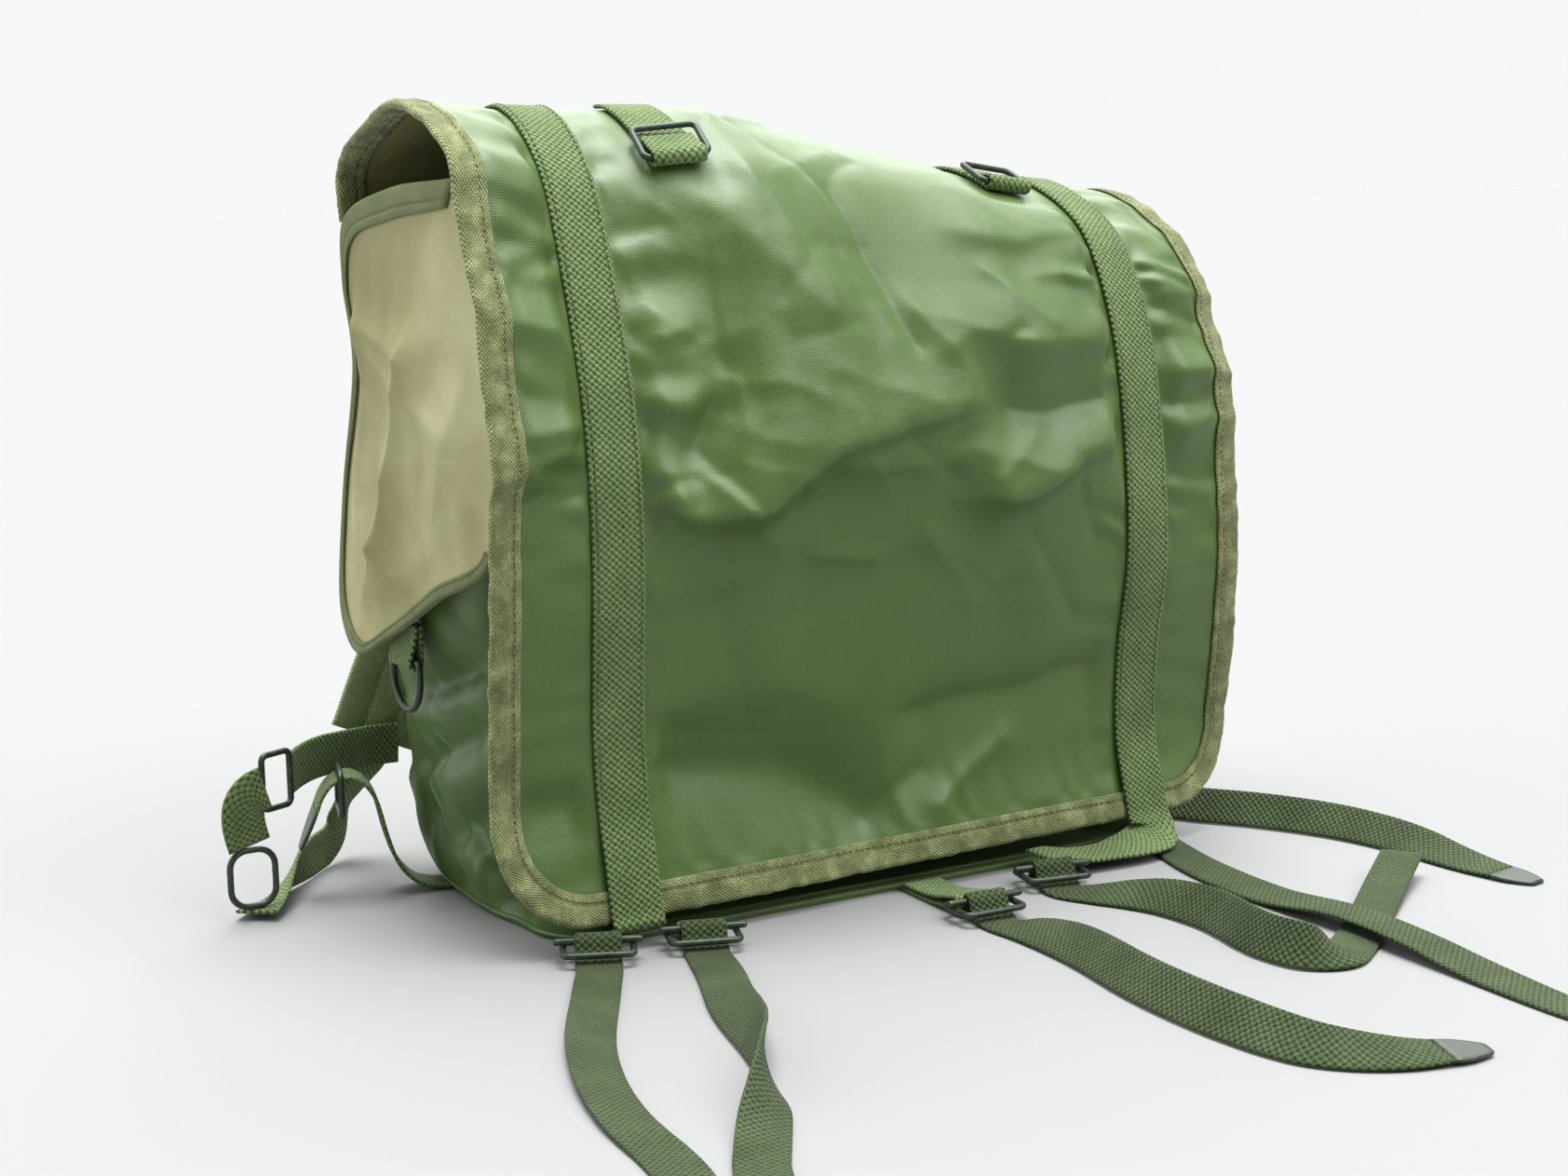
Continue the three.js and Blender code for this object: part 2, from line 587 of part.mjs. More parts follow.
function bodySolid() {
  const outer = BODY_SECTIONS.map((section) => bodyRow(section, 0));
  const inner = BODY_SECTIONS.slice(1).map((section) => bodyRow(section, WALL));
  inner.unshift(bodyRow(BODY_SECTIONS[0], WALL, BASE_THICK));
  const count = outer[0].length;
  const points = [...outer.flat(), ...inner.flat()];
  const under = outer.length * count;
  const triangles = [];
  for (let row = 0; row < outer.length - 1; row += 1) {
    triangles.push(...bandTriangles(row * count, (row + 1) * count, count, true));
    const inside = bandTriangles(under + row * count, under + (row + 1) * count, count, true);
    for (const [a, b, c] of inside) triangles.push([a, c, b]);
  }
  const top = (outer.length - 1) * count;
  triangles.push(...bandTriangles(top, under + top, count, true));
  const bottom = points.push(vec(0, 0, 0)) - 1;
  const floor = points.push(vec(0, 0, BASE_THICK)) - 1;
  for (let i = 0; i < count; i += 1) {
    const j = (i + 1) % count;
    triangles.push([bottom, j, i], [floor, under + i, under + j]);
  }
  return closedGeometry(points, triangles);
}

// Lid surface

const sectionAcross = LID_SECTIONS.map((section) => section.across);
const stationColumns = LID_STATIONS.map((name) => ({
  y: LID_SECTIONS.map((section) => section[name][0]),
  z: LID_SECTIONS.map((section) => section[name][1]),
}));
const mean = (values) => values.reduce((sum, value) => sum + value, 0) / values.length;
const stationAlong = stationColumns.reduce((places, column, i) => {
  if (i === 0) return [0];
  const before = stationColumns[i - 1];
  const step = Math.hypot(mean(column.y) - mean(before.y), mean(column.z) - mean(before.z));
  return [...places, places[i - 1] + step];
}, []);
const LID_LENGTH = stationAlong[stationAlong.length - 1];

function lidMiddle(across, along) {
  const ys = stationColumns.map((column) => spline(sectionAcross, column.y, across));
  const zs = stationColumns.map((column) => spline(sectionAcross, column.z, across));
  return vec(LID_CENTRE + across, spline(stationAlong, ys, along), spline(stationAlong, zs, along));
}

function lidNormal(across, along) {
  const reach = 2;
  const down = lidMiddle(across, along + reach).sub(lidMiddle(across, along - reach));
  const right = lidMiddle(across + reach, along).sub(lidMiddle(across - reach, along));
  return down.cross(right).normalize();
}

function foldHeight(across, along) {
  const edge = STRAP_OFFSET - LID_WEB / 2;
  const inside = 1 - smoothStep(edge - FOLD_FADE, edge, Math.abs(across));
  return inside * LID_FOLDS.reduce((sum, fold) => {
    const dx = fold.to[0] - fold.from[0];
    const dy = fold.to[1] - fold.from[1];
    const length = Math.hypot(dx, dy);
    const run = ((across - fold.from[0]) * dx + (along - fold.from[1]) * dy) / length;
    const side = ((across - fold.from[0]) * dy - (along - fold.from[1]) * dx) / length;
    const past = Math.max(-run, run - length, 0);
    return sum + fold.height * Math.exp(-((side * side) + (past * past)) / (fold.width * fold.width));
  }, 0);
}

function lidPoint(across, along, off) {
  const lift = off + foldHeight(across, along);
  return lidMiddle(across, along).addScaledVector(lidNormal(across, along), lift);
}

// Direction across the lid, level with its cloth
function lidCross(across, along) {
  const reach = LID_WEB / 2;
  return lidPoint(across + reach, along, 0).sub(lidPoint(across - reach, along, 0)).normalize();
}

// Half the lid's width at a place along it, round at the bottom corners
function lidHalf(along) {
  const into = Math.max(along - (LID_LENGTH - LID_CORNER), 0);
  return LID_HALF - LID_CORNER + Math.sqrt(Math.max(LID_CORNER * LID_CORNER - into * into, 0));
}

function lidRows() {
  const straight = LID_LENGTH - LID_CORNER;
  const count = Math.round(straight / LID_ROW_STEP);
  const rows = Array.from({ length: count + 1 }, (_, i) => straight * i / count);
  for (let i = 1; i <= LID_CORNER_STEPS; i += 1) {
    rows.push(straight + LID_CORNER * Math.sin(Math.PI / 2 * i / LID_CORNER_STEPS));
  }
  return rows;
}

function lidColumns(along) {
  const outer = STRAP_OFFSET + LID_WEB / 2;
  const inner = STRAP_OFFSET - LID_WEB / 2;
  const margin = MARGIN_SHARES.map((share) => outer + (lidHalf(along) - outer) * share);
  const panel = Array.from({ length: PANEL_STEPS + 1 }, (_, i) => inner * (2 * i / PANEL_STEPS - 1));
  return [...margin.map((across) => -across), ...panel, ...margin.reverse()];
}

function lidSolid() {
  const rows = lidRows();
  const side = (off) => rows.map((along) => lidColumns(along).map((across) => lidPoint(across, along, off)));
  return sheetSolid(side(CLOTH / 2), side(-CLOTH / 2));
}

// U-shaped tape round an edge: [distance in from the edge, height off the middle of the cloth]
const TAPE_GAP = 0.5;
const TAPE_IN = CLOTH / 2 + TAPE_GAP;
const TAPE_OUT = TAPE_IN + TAPE;
const TAPE_SECTION = [
  [TAPE_FOLD, TAPE_IN], [TAPE_FOLD, TAPE_OUT], [-GAP - TAPE, TAPE_OUT], [-GAP - TAPE, -TAPE_OUT],
  [TAPE_FOLD, -TAPE_OUT], [TAPE_FOLD, -TAPE_IN], [-GAP, -TAPE_IN], [-GAP, TAPE_IN],
];

// Stations round the two sides and the hem: place on the lid and the way in from its edge
function lidEdgeStations() {
  const rows = lidRows();
  const straight = LID_LENGTH - LID_CORNER;
  const side = (sign) => rows.map((along) => {
    const angle = along > straight ? Math.asin(Math.min((along - straight) / LID_CORNER, 1)) : 0;
    return { place: [sign * lidHalf(along), along], inward: [-sign * Math.cos(angle), -Math.sin(angle)] };
  });
  const corner = MARGIN_SHARES.length - 1;
  const hem = lidColumns(LID_LENGTH).slice(corner, -corner)
    .map((across) => ({ place: [across, LID_LENGTH], inward: [0, -1] }));
  return [...side(-1), ...hem, ...side(1).reverse()];
}

function lidBindingSolid() {
  const sections = lidEdgeStations().map(({ place, inward }) => TAPE_SECTION.map(([into, off]) => lidPoint(
    place[0] + inward[0] * into, place[1] + inward[1] * into, off,
  )));
  return tubeSolid(sections, CAP_U);
}

function lidStrapSolid(side) {
  const middle = side === "left" ? -STRAP_OFFSET : STRAP_OFFSET;
  const stops = [LID_STRAP_START, ...lidRows().slice(1)];
  const sections = stops.map((along) => {
    const lift = smoothStep(LID_LENGTH - STRAP_LIFT_FROM, LID_LENGTH - STRAP_LIFT_TO, along);
    const low = CLOTH / 2 + GAP + STRAP_LIFT * lift;
    const high = low + LID_WEB_THICK;
    const edges = [[-1, low], [1, low], [1, high], [-1, high]];
    return edges.map(([share, off]) => lidPoint(middle + share * LID_WEB / 2, along, off));
  });
  const rows = LID_STRAP_ENDS[side];
  const hemPoint = lidPoint(middle, LID_LENGTH, CLOTH / 2 + GAP + STRAP_LIFT + LID_WEB_THICK / 2);
  const points = [hemPoint, ...rows.map((row) => vec(row.x, row.y, row.z))];
  const widths = [vec(1, 0, 0), ...rows.map((row) => directionOf(row.turn, row.lean))];
  const free = ribbonSections(points, widths, LID_WEB, LID_WEB_THICK).slice(1);
  return tubeSolid([...sections, ...free.map(([a, b, c, d]) => [d, c, b, a])], CAP_QUAD);
}

// Frame on the crown: its bar lies across the lid and the frame lies back over its own tab
function topTabSolid({ across, bar }) {
  const low = CLOTH / 2 + TOP_TAB.gap + LID_WEB_THICK / 2;
  const turn = WIRE_RADIUS + GAP + LID_WEB_THICK / 2;
  const barOff = low + turn;
  const under = lidRows().filter((along) => along > bar - TOP_TAB.length && along < bar - TOP_TAB.clear);
  const lower = under.map((along) => [along, low]);
  const round = FOLD_ANGLES.map((angle) => [
    bar + turn * Math.sin(radians(angle)), barOff - turn * Math.cos(radians(angle)),
  ]);
  const upperEnd = low + LID_WEB_THICK + GAP;
  const upper = [[bar - TOP_TAB.bulgeRun, upperEnd + TOP_TAB.bulge], [bar - TOP_TAB.back, upperEnd]];
  const stops = [...lower, ...round, ...upper];
  const points = stops.map(([along, off]) => lidPoint(across, along, off));
  const widths = stops.map(([along]) => lidCross(across, along));
  return tubeSolid(ribbonSections(points, widths, LID_WEB, LID_WEB_THICK), CAP_QUAD);
}

function placeTopFrame(mesh, { across, bar }) {
  const barOff = CLOTH / 2 + TOP_TAB.gap + LID_WEB_THICK + GAP + WIRE_RADIUS;
  const right = lidCross(across, bar);
  const back = lidPoint(across, bar - TOP_FRAME.length, TOP_FRAME.lift).sub(lidPoint(across, bar, 0));
  const face = right.clone().cross(back).normalize();
  const turned = new THREE.Matrix4().makeBasis(right, face.clone().cross(right), face);
  mesh.quaternion.setFromRotationMatrix(turned);
  mesh.position.copy(lidPoint(across, bar, barOff));
}

// Side flaps

const mirrored = (points) => points.map((point) => vec(-point.x, point.y, point.z));

function flapX(z) {
  const low = Math.max(FLAP_CURL_FROM - z, 0) / FLAP_CURL_REACH;
  return -FLAP_X - FLAP_CURL * low * low;
}

// Place on the left flap, or on the right one, which is lower and shorter
function flapPoint(y, z, off, side) {
  if (side === "left") return vec(flapX(z) - off, y, z);
  const front = (RIM.backY - y) / (RIM.backY - RIM.frontY);
  const drop = RIGHT_FLAP_DROP.rear + (RIGHT_FLAP_DROP.front - RIGHT_FLAP_DROP.rear) * front;
  return vec(-flapX(z) + off, RIM.backY - (RIM.backY - y) * RIGHT_FLAP_DROP.shrink, z - drop);
}

function flapEdge() {
  const rows = [...FLAP_OUTLINE, FLAP_OUTLINE[0]];
  const places = rows.map((_, i) => i);
  const ys = rows.map((row) => row.y);
  const zs = rows.map((row) => row.z);
  return Array.from({ length: FLAP_OUTLINE.length * FLAP_STEPS }, (_, i) => [
    spline(places, ys, i / FLAP_STEPS), spline(places, zs, i / FLAP_STEPS),
  ]);
}

const towardsFlapCentre = ([y, z], share) => [
  FLAP_CENTRE[0] + (y - FLAP_CENTRE[0]) * share, FLAP_CENTRE[1] + (z - FLAP_CENTRE[1]) * share,
];

function flapSolid(side) {
  const edge = flapEdge();
  const count = edge.length;
  const face = (off) => [
    ...FLAP_RINGS.flatMap((share) => edge.map((place) => {
      const [y, z] = towardsFlapCentre(place, share);
      return flapPoint(y, z, off, side);
    })),
    flapPoint(FLAP_CENTRE[0], FLAP_CENTRE[1], off, side),
  ];
  const points = [...face(CLOTH / 2), ...face(-CLOTH / 2)];
  const under = points.length / 2;
  const centre = under - 1;
  const triangles = [];
  const both = ([a, b, c]) => triangles.push([a, b, c], [under + a, under + c, under + b]);
  for (let ring = 0; ring < FLAP_RINGS.length - 1; ring += 1) {
    bandTriangles(ring * count, (ring + 1) * count, count, true).forEach(both);
  }
  const last = (FLAP_RINGS.length - 1) * count;
  for (let i = 0; i < count; i += 1) {
    const j = (i + 1) % count;
    both([last + i, last + j, centre]);
    triangles.push([i, under + j, j], [i, under + i, under + j]);
  }
  return closedGeometry(points, triangles);
}

function flapBindingSolid(side) {
  const edge = flapEdge().slice(0, FLAP_BOUND_SPANS * FLAP_STEPS + 1);
  const sections = edge.map(([y, z]) => {
    const towards = [FLAP_CENTRE[0] - y, FLAP_CENTRE[1] - z];
    const length = Math.hypot(...towards);
    return TAPE_SECTION.map(([into, off]) => flapPoint(
      y + towards[0] * into / length, z + towards[1] * into / length, off, side,
    ));
  });
  return tubeSolid(sections, CAP_U);
}

// Ring in a webbing loop on the side: bar at the top, bow hanging

function ringOutline() {
  const bowSteps = 8;
  const bar = [[-RING_HALF, 0], [RING_HALF, 0]];
  const bow = Array.from({ length: bowSteps + 1 }, (_, i) => {
    const angle = Math.PI * i / bowSteps;
    const depth = RING_DEPTH - RING_HALF + RING_HALF * Math.sin(angle);
    return [RING_HALF * Math.cos(angle), depth];
  });
  return [...bar, ...bow];
}

// Widest reach of the body's side at a height, on the left (-1) or the right (1)
function sideReach(sign, z) {
  const share = z / rimHeight(sign * RIM.halfX, RING_Y);
  const next = BODY_SECTIONS.findIndex((section) => section.height >= share);
  const low = BODY_SECTIONS[next - 1];
  const high = BODY_SECTIONS[next];
  const t = (share - low.height) / (high.height - low.height);
  return low.half + (high.half - low.half) * t + SIDE_BOW;
}

function ringBarReach(sign, barZ) {
  return sideReach(sign, barZ + RING_TAB.rise) + GAP + LID_WEB_THICK + GAP + RING_WIRE;
}

function ringTabSolid(side, barZ, ringBarX) {
  const turn = RING_WIRE + GAP + LID_WEB_THICK / 2;
  const innerX = ringBarX - turn;
  const round = FOLD_ANGLES.map((angle) => [
    ringBarX - turn * Math.cos(radians(angle)), barZ - turn * Math.sin(radians(angle)),
  ]);
  const outerX = innerX + LID_WEB_THICK + GAP;
  const top = barZ + RING_TAB.rise;
  const stops = [[innerX, top], [innerX, barZ + RING_TAB.straight], ...round,
    [outerX + RING_TAB.bulge, barZ + RING_TAB.bulgeRise], [outerX, top - RING_TAB.sewn], [outerX, top]];
  const points = stops.map(([x, z]) => vec(-x, RING_Y, z));
  const placed = side === "left" ? points : mirrored(points);
  return tubeSolid(ribbonSections(placed, placed.map(() => vec(0, 1, 0)), LID_WEB, LID_WEB_THICK), CAP_QUAD);
}

function addRing(side, drop) {
  const sign = side === "left" ? -1 : 1;
  const barZ = RING_BAR_Z - drop;
  const ringBarX = ringBarReach(sign, barZ);
  addWebbing(`ring_tab_${side}`, ringTabSolid(side, barZ, ringBarX));
  const ring = addSteel(`d_ring_${side}`, wireLoop(ringOutline(), RING_WIRE));
  const along = vec(0, sign, 0);
  const down = vec(0, 0, -1);
  const turned = new THREE.Matrix4().makeBasis(along, down, along.clone().cross(down));
  ring.quaternion.setFromRotationMatrix(turned);
  ring.position.set(sign * ringBarX, RING_Y, barZ);
}

// Buckles and straps on the surface

function headingVector(degrees) {
  return vec(Math.cos(radians(degrees)), Math.sin(radians(degrees)), 0);
}

function addBuckle({ name, x, y, heading }) {
  const frame = addSteel(`buckle_${name}`, wireLoop(
    frameOutline(BUCKLE.half, BUCKLE.length, BUCKLE.corner), WIRE_RADIUS,
  ));
  const ahead = headingVector(heading);
  frame.rotation.z = radians(heading - 90);
  frame.position.set(x, y, BUCKLE.height).addScaledVector(ahead, -BUCKLE.length / 2);
  const bar = addSteel(`buckle_bar_${name}`, barSolid(BUCKLE.barHalf, BUCKLE.barRadius));
  bar.rotation.z = radians(heading - 90);
  bar.position.set(x, y, BUCKLE_BAR_Z);
}

// Strap that starts under its buckle's bar, climbs over it and lies out along the surface
function buckledStrap(name, { x, y, heading }) {
  const ahead = headingVector(heading);
  const round = BUCKLE.barRadius + GAP + FLOOR_WEB_THICK / 2;
  const over = CLIMB_ANGLES.map((angle) => ({
    run: round * Math.cos(radians(angle)), z: BUCKLE_BAR_Z + round * Math.sin(radians(angle)),
  }));
  const climb = [...CLIMB_IN, ...over, ...CLIMB_OUT];
  const points = climb.map(({ run, z }) => vec(x, y, z).addScaledVector(ahead, run));
  const across = ahead.clone().cross(UP);
  const lying = lyingRows(STRAP_ROUTES[name], STRAP_SAMPLE);
  return ribbonSections([...points, ...lying.points], [...climb.map(() => across), ...lying.widths],
    FLOOR_WEB, FLOOR_WEB_THICK);
}

function plainStrap(name) {
  const lying = lyingRows(STRAP_ROUTES[name], STRAP_SAMPLE);
  return ribbonSections(lying.points, lying.widths, FLOOR_WEB, FLOOR_WEB_THICK);
}

// Metal end on a strap
function sectionMiddle(section) {
  return section.reduce((sum, corner) => sum.add(corner), vec(0, 0, 0)).divideScalar(section.length);
}

function addTip(name, sections) {
  const last = sections[sections.length - 1];
  const centre = sectionMiddle(last);
  const ahead = centre.clone().sub(sectionMiddle(sections[sections.length - 2])).normalize();
  const across = last[1].clone().sub(last[0]).normalize();
  const face = across.clone().cross(ahead).normalize();
  const tip = TIP_SHAPE.map(({ run, share }) => strapSection(
    centre.clone().addScaledVector(ahead, run), across, face, FLOOR_WEB * share, FLOOR_WEB_THICK,
  ));
  addSteel(name, tubeSolid(tip, CAP_QUAD));
}

// Webbing tab from the base seam, folded round the back bar of an inner buckle
function innerTabSolid({ x, y, heading }) {
  const ahead = headingVector(heading);
  const bar = vec(x, y, 0).addScaledVector(ahead, -BUCKLE.length / 2);
  const seamY = BODY_SECTIONS[0].front - GAP;
  const reach = (bar.y - seamY) / ahead.y;
  const turn = WIRE_RADIUS + GAP + FLOOR_WEB_THICK / 2;
  const low = FLOOR_WEB_THICK / 2 + FLOOR_CLEAR;
  const round = FOLD_ANGLES.map((angle) => [
    turn * Math.sin(radians(angle)), BUCKLE.height - turn * Math.cos(radians(angle)),
  ]);
  const upper = low + FLOOR_WEB_THICK + GAP;
  const slant = FLOOR_WEB / 2 * Math.abs(ahead.x / ahead.y);
  const start = slant - reach;
  const stops = [[start + GAP, low], [-reach * INNER_TAB.lowShare, low], ...round,
    [-reach * INNER_TAB.highShare, upper + INNER_TAB.bulge], [start + INNER_TAB.setback, upper]];
  const points = stops.map(([run, z]) => bar.clone().addScaledVector(ahead, run).setZ(z));
  const across = ahead.clone().cross(UP);
  return tubeSolid(ribbonSections(points, points.map(() => across), FLOOR_WEB, FLOOR_WEB_THICK), CAP_QUAD);
}

// Shoulder straps

function padSections(sign) {
  const rows = sampleRoute(PAD_ROUTE, SAMPLE.pad);
  const points = rows.map((row) => vec(-sign * row.x, row.y, row.z));
  const widths = points.map((_, i) => tangentAt(points, i).cross(vec(0, 1, 0)));
  return ribbonSections(points, widths, PAD.width, PAD.thick);
}

// Frame standing upright, its width vertical and its length along a heading
function addUprightFrame(name, place, across, along) {
  const frame = addSteel(name, wireLoop(frameOutline(place.half, place.length, place.corner), WIRE_RADIUS));
  const face = across.clone().cross(along);
  frame.quaternion.setFromRotationMatrix(new THREE.Matrix4().makeBasis(across, along, face));
  frame.position.set(place.x, place.y, place.z).addScaledVector(along, -place.length / 2);
}

// Plain frame at the end of the right pad, in line with it
function addPadEndFrame(name, shape) {
  const last = PAD_ROUTE[PAD_ROUTE.length - 1];
  const before = PAD_ROUTE[PAD_ROUTE.length - 2];
  const along = vec(before.x - last.x, last.y - before.y, last.z - before.z).normalize();
  const middle = vec(-last.x, last.y, last.z).addScaledVector(along, WIRE_RADIUS + GAP + shape.length / 2);
  const across = along.clone().cross(vec(0, 1, 0));
  addUprightFrame(name, { ...shape, x: middle.x, y: middle.y, z: middle.z }, across, along);
}

addCloth("body", bodySolid());
addCloth("lid", lidSolid());
addTape("lid_binding", lidBindingSolid());
for (const side of ["left", "right"]) {
  addWebbing(`lid_strap_${side}`, lidStrapSolid(side));
  addLining(`side_flap_${side}`, flapSolid(side));
  addTape(`side_flap_binding_${side}`, flapBindingSolid(side));
}
for (const place of TOP_FRAMES) {
  addWebbing(`top_tab_${place.side}`, topTabSolid(place));
  const frame = addSteel(`top_frame_${place.side}`, wireLoop(
    frameOutline(TOP_FRAME.half, TOP_FRAME.length, TOP_FRAME.corner), WIRE_RADIUS,
  ));
  placeTopFrame(frame, place);
}
addRing("left", 0);
addRing("right", RIGHT_RING_DROP);
for (const place of BUCKLES) {
  addBuckle(place);
  if (place.name.startsWith("inner")) addWebbing(`buckle_tab_${place.name}`, innerTabSolid(place));
  const name = `floor_strap_${place.name}`;
  const sections = buckledStrap(name, place);
  addWebbing(name, tubeSolid(sections, CAP_QUAD));
  if (TIPPED_STRAPS.includes(name)) addTip(`${name}_tip`, sections);
}
for (const name of ["base_strap_right", "shoulder_lower_right"]) {
  const sections = plainStrap(name);
  addWebbing(name, tubeSolid(sections, CAP_QUAD));
  if (TIPPED_STRAPS.includes(name)) addTip(`${name}_tip`, sections);
}

addWebbing("shoulder_pad_left", tubeSolid(padSections(-1), CAP_QUAD));
addWebbing("shoulder_pad_right", tubeSolid(padSections(1), CAP_QUAD));
const webRows = sampleRoute(SHOULDER_WEB_ROUTE, SAMPLE.web);
const webPoints = webRows.map((row) => vec(row.x, row.y, row.z));
addWebbing("shoulder_web_left", tubeSolid(
  ribbonSections(webPoints, webPoints.map(() => UP), FLOOR_WEB, FLOOR_WEB_THICK), CAP_QUAD,
));
addUprightFrame("shoulder_buckle_left", SHOULDER_BUCKLE, UP, headingVector(SHOULDER_BUCKLE.heading));
addWebbing("shoulder_link_left", tubeSolid(turnedStrap(LINK_ROUTE, SAMPLE.link), CAP_QUAD));
addUprightFrame("shoulder_ring_left", LOWER_RING, headingVector(LOWER_RING.turn), UP);
addWebbing("shoulder_floor_web_left", tubeSolid(turnedStrap(FLOOR_LINK_ROUTE, SAMPLE.floorLink), CAP_QUAD));
addUprightFrame("shoulder_adjuster_left", ADJUSTER, headingVector(ADJUSTER.turn), UP);
const lowerStrap = turnedStrap(LOWER_STRAP_ROUTE, SAMPLE.lower);
addWebbing("shoulder_lower_left", tubeSolid(lowerStrap, CAP_QUAD));
addTip("shoulder_lower_left_tip", lowerStrap);
addPadEndFrame("shoulder_buckle_right", RIGHT_BUCKLE);

export default rucksack;
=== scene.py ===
"""Looks of a military rucksack that stands on a pale surface.

Tables are in millimetres, in the frame of the CAD part: X to the right seen from the front, Y to the
back panel, Z up, origin at the middle of the base. Meshes are made in metres.
"""
import math

import bpy
import numpy as np
from mathutils import Matrix


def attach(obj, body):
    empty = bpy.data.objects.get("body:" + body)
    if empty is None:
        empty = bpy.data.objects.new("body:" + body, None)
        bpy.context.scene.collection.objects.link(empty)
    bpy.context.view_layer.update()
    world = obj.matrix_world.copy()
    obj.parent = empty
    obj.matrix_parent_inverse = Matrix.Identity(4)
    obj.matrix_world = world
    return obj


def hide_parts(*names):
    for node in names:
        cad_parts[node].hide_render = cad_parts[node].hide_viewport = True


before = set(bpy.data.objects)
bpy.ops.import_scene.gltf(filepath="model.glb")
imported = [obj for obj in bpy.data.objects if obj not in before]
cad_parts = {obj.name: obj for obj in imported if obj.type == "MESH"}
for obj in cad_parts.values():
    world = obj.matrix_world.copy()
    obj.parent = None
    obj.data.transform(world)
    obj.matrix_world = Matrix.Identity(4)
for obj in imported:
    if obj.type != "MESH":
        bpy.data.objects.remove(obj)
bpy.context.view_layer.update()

MM = 0.001

# Cloth, webbing and wire
CLOTH = 1.5
GAP = 0.4
LID_WEB = 25
LID_WEB_THICK = 2
FLOOR_WEB = 20
FLOOR_WEB_THICK = 1.8
TAPE = 1
TAPE_FOLD = 12.5
WIRE_RADIUS = 1.5
FLOOR_CLEAR = 0.3

# Body
WALL = 1.5
BASE_THICK = 2
BODY_CORNER = 38
SIDE_BOW = 3
RIM = {"back_left": 318, "front_left": 330, "back_right": 300, "front_right": 278,
       "half_x": 187, "back_y": 67, "front_y": -38}
# Level sections from the base to the rim: share of the rim's height, half width, front, back
BODY_SECTIONS = np.array([
    (0.0, 163, -81, 79), (0.03, 169, -82, 83), (0.06, 173, -78, 84), (0.11, 177, -72, 85),
    (0.2, 181, -69, 85), (0.31, 184, -69, 85), (0.43, 187, -71, 84), (0.55, 187, -73, 82),
    (0.67, 187, -71, 78), (0.79, 187, -63, 72), (0.9, 187, -50, 68), (1.0, 187, -38, 67),
], float)
# Pleats of the sides: x, y, z, slope, width, reach, depth
PLEATS = [
    (-185, -52, 95, -0.25, 11, 85, 9), (-183, -16, 60, 0.3, 13, 60, 6), (-180, 34, 40, 0.35, 15, 45, 5),
    (185, -48, 90, -0.25, 12, 80, 8), (183, 38, 45, 0.3, 14, 50, 5),
]

# Lid: [y, z] of stations from the seam over the crown to the hem, for sections across
LID_CENTRE = 7
LID_HALF = 200
LID_CORNER = 42
STRAP_OFFSET = 141
LID_ACROSS = np.array([-200, -141, -50, 65, 141, 200], float)
LID_STATIONS = np.array([
    [(68.5, 312), (69, 336), (36, 353), (-4, 361), (-50, 339), (-72, 287), (-85, 232), (-85, 166),
     (-78, 96), (-80, 48), (-89, 12)],
    [(68.5, 310), (69, 334), (36, 351), (-4, 358), (-42, 331), (-63, 282), (-78, 228), (-82, 168),
     (-77, 92), (-81, 50), (-88, 13)],
    [(68.5, 305), (69, 329), (36, 349), (-4, 356), (-48, 332), (-70, 284), (-86, 228), (-87, 165),
     (-80, 92), (-80, 50), (-88, 14)],
    [(68.5, 299), (69, 314), (36, 328), (-2, 332), (-46, 315), (-69, 277), (-87, 228), (-89, 160),
     (-81, 93), (-79, 50), (-87, 16)],
    [(68.5, 296), (69, 307), (38, 319), (4, 323), (-42, 304), (-64, 276), (-79, 230), (-87, 152),
     (-79, 95), (-78, 50), (-86, 17)],
    [(68.5, 293), (69, 303), (40, 312), (8, 316), (-36, 295), (-57, 263), (-75, 220), (-84, 155),
     (-81, 91), (-75, 51), (-83, 18)],
], float)
# Broad folds of the front panel: from and to as (across, along), width, height
LID_FOLDS = [
    ((-85, 150), (60, 255), 26, 6), ((-110, 205), (20, 250), 22, -5), ((-115, 292), (45, 282), 13, 5),
    ((-90, 318), (60, 305), 20, -5), ((70, 190), (112, 330), 18, -4), ((-60, 405), (70, 395), 26, -4),
]
FOLD_FADE = 30
STRAP_LIFT = TAPE + 2 * GAP
STRAP_LIFT_FROM = 48
STRAP_LIFT_TO = 22
LID_STRAP_START = 4
LID_STRAP_STEP = 5

# Side flaps, as (y, z) of the left one
FLAP_X = 192.7
FLAP_CURL = 9
FLAP_CURL_FROM = 190
FLAP_CURL_REACH = 72
FLAP_CENTRE = np.array((2, 232), float)
FLAP_OUTLINE = np.array([
    (-44, 329), (12, 325), (62, 314), (68, 286), (60, 246), (82, 181), (79, 138), (50, 117), (16, 128),
    (-30, 150), (-74, 173), (-75, 222), (-64, 278),
], float)
FLAP_STEPS = 10
FLAP_BOUND_SPANS = 10
FLAP_HEM_SPANS = (2.0, 3.2)
FLAP_TAPE_SHARE = 0.45
RIGHT_FLAP_DROP = {"rear": 18, "front": 52, "shrink": 0.88}
# The left flap runs on under the lid's edge: height, y of the flap's front there, run in front of it
FLAP_TUCK = np.array([
    (173, -74, 4), (192, -78, 4.5), (210, -76.5, 8), (240, -72.5, 7.5), (278, -64, 8), (329, -44, 10),
], float)
FLAP_TUCK_FROM = 45
FLAP_TUCK_IN = 4

# Rings on the sides
RING_WIRE = 1.6
RING_HALF = 15.5
RING_DEPTH = 23
RING_Y = 12
RING_BAR_Z = {"left": 118, "right": 74}
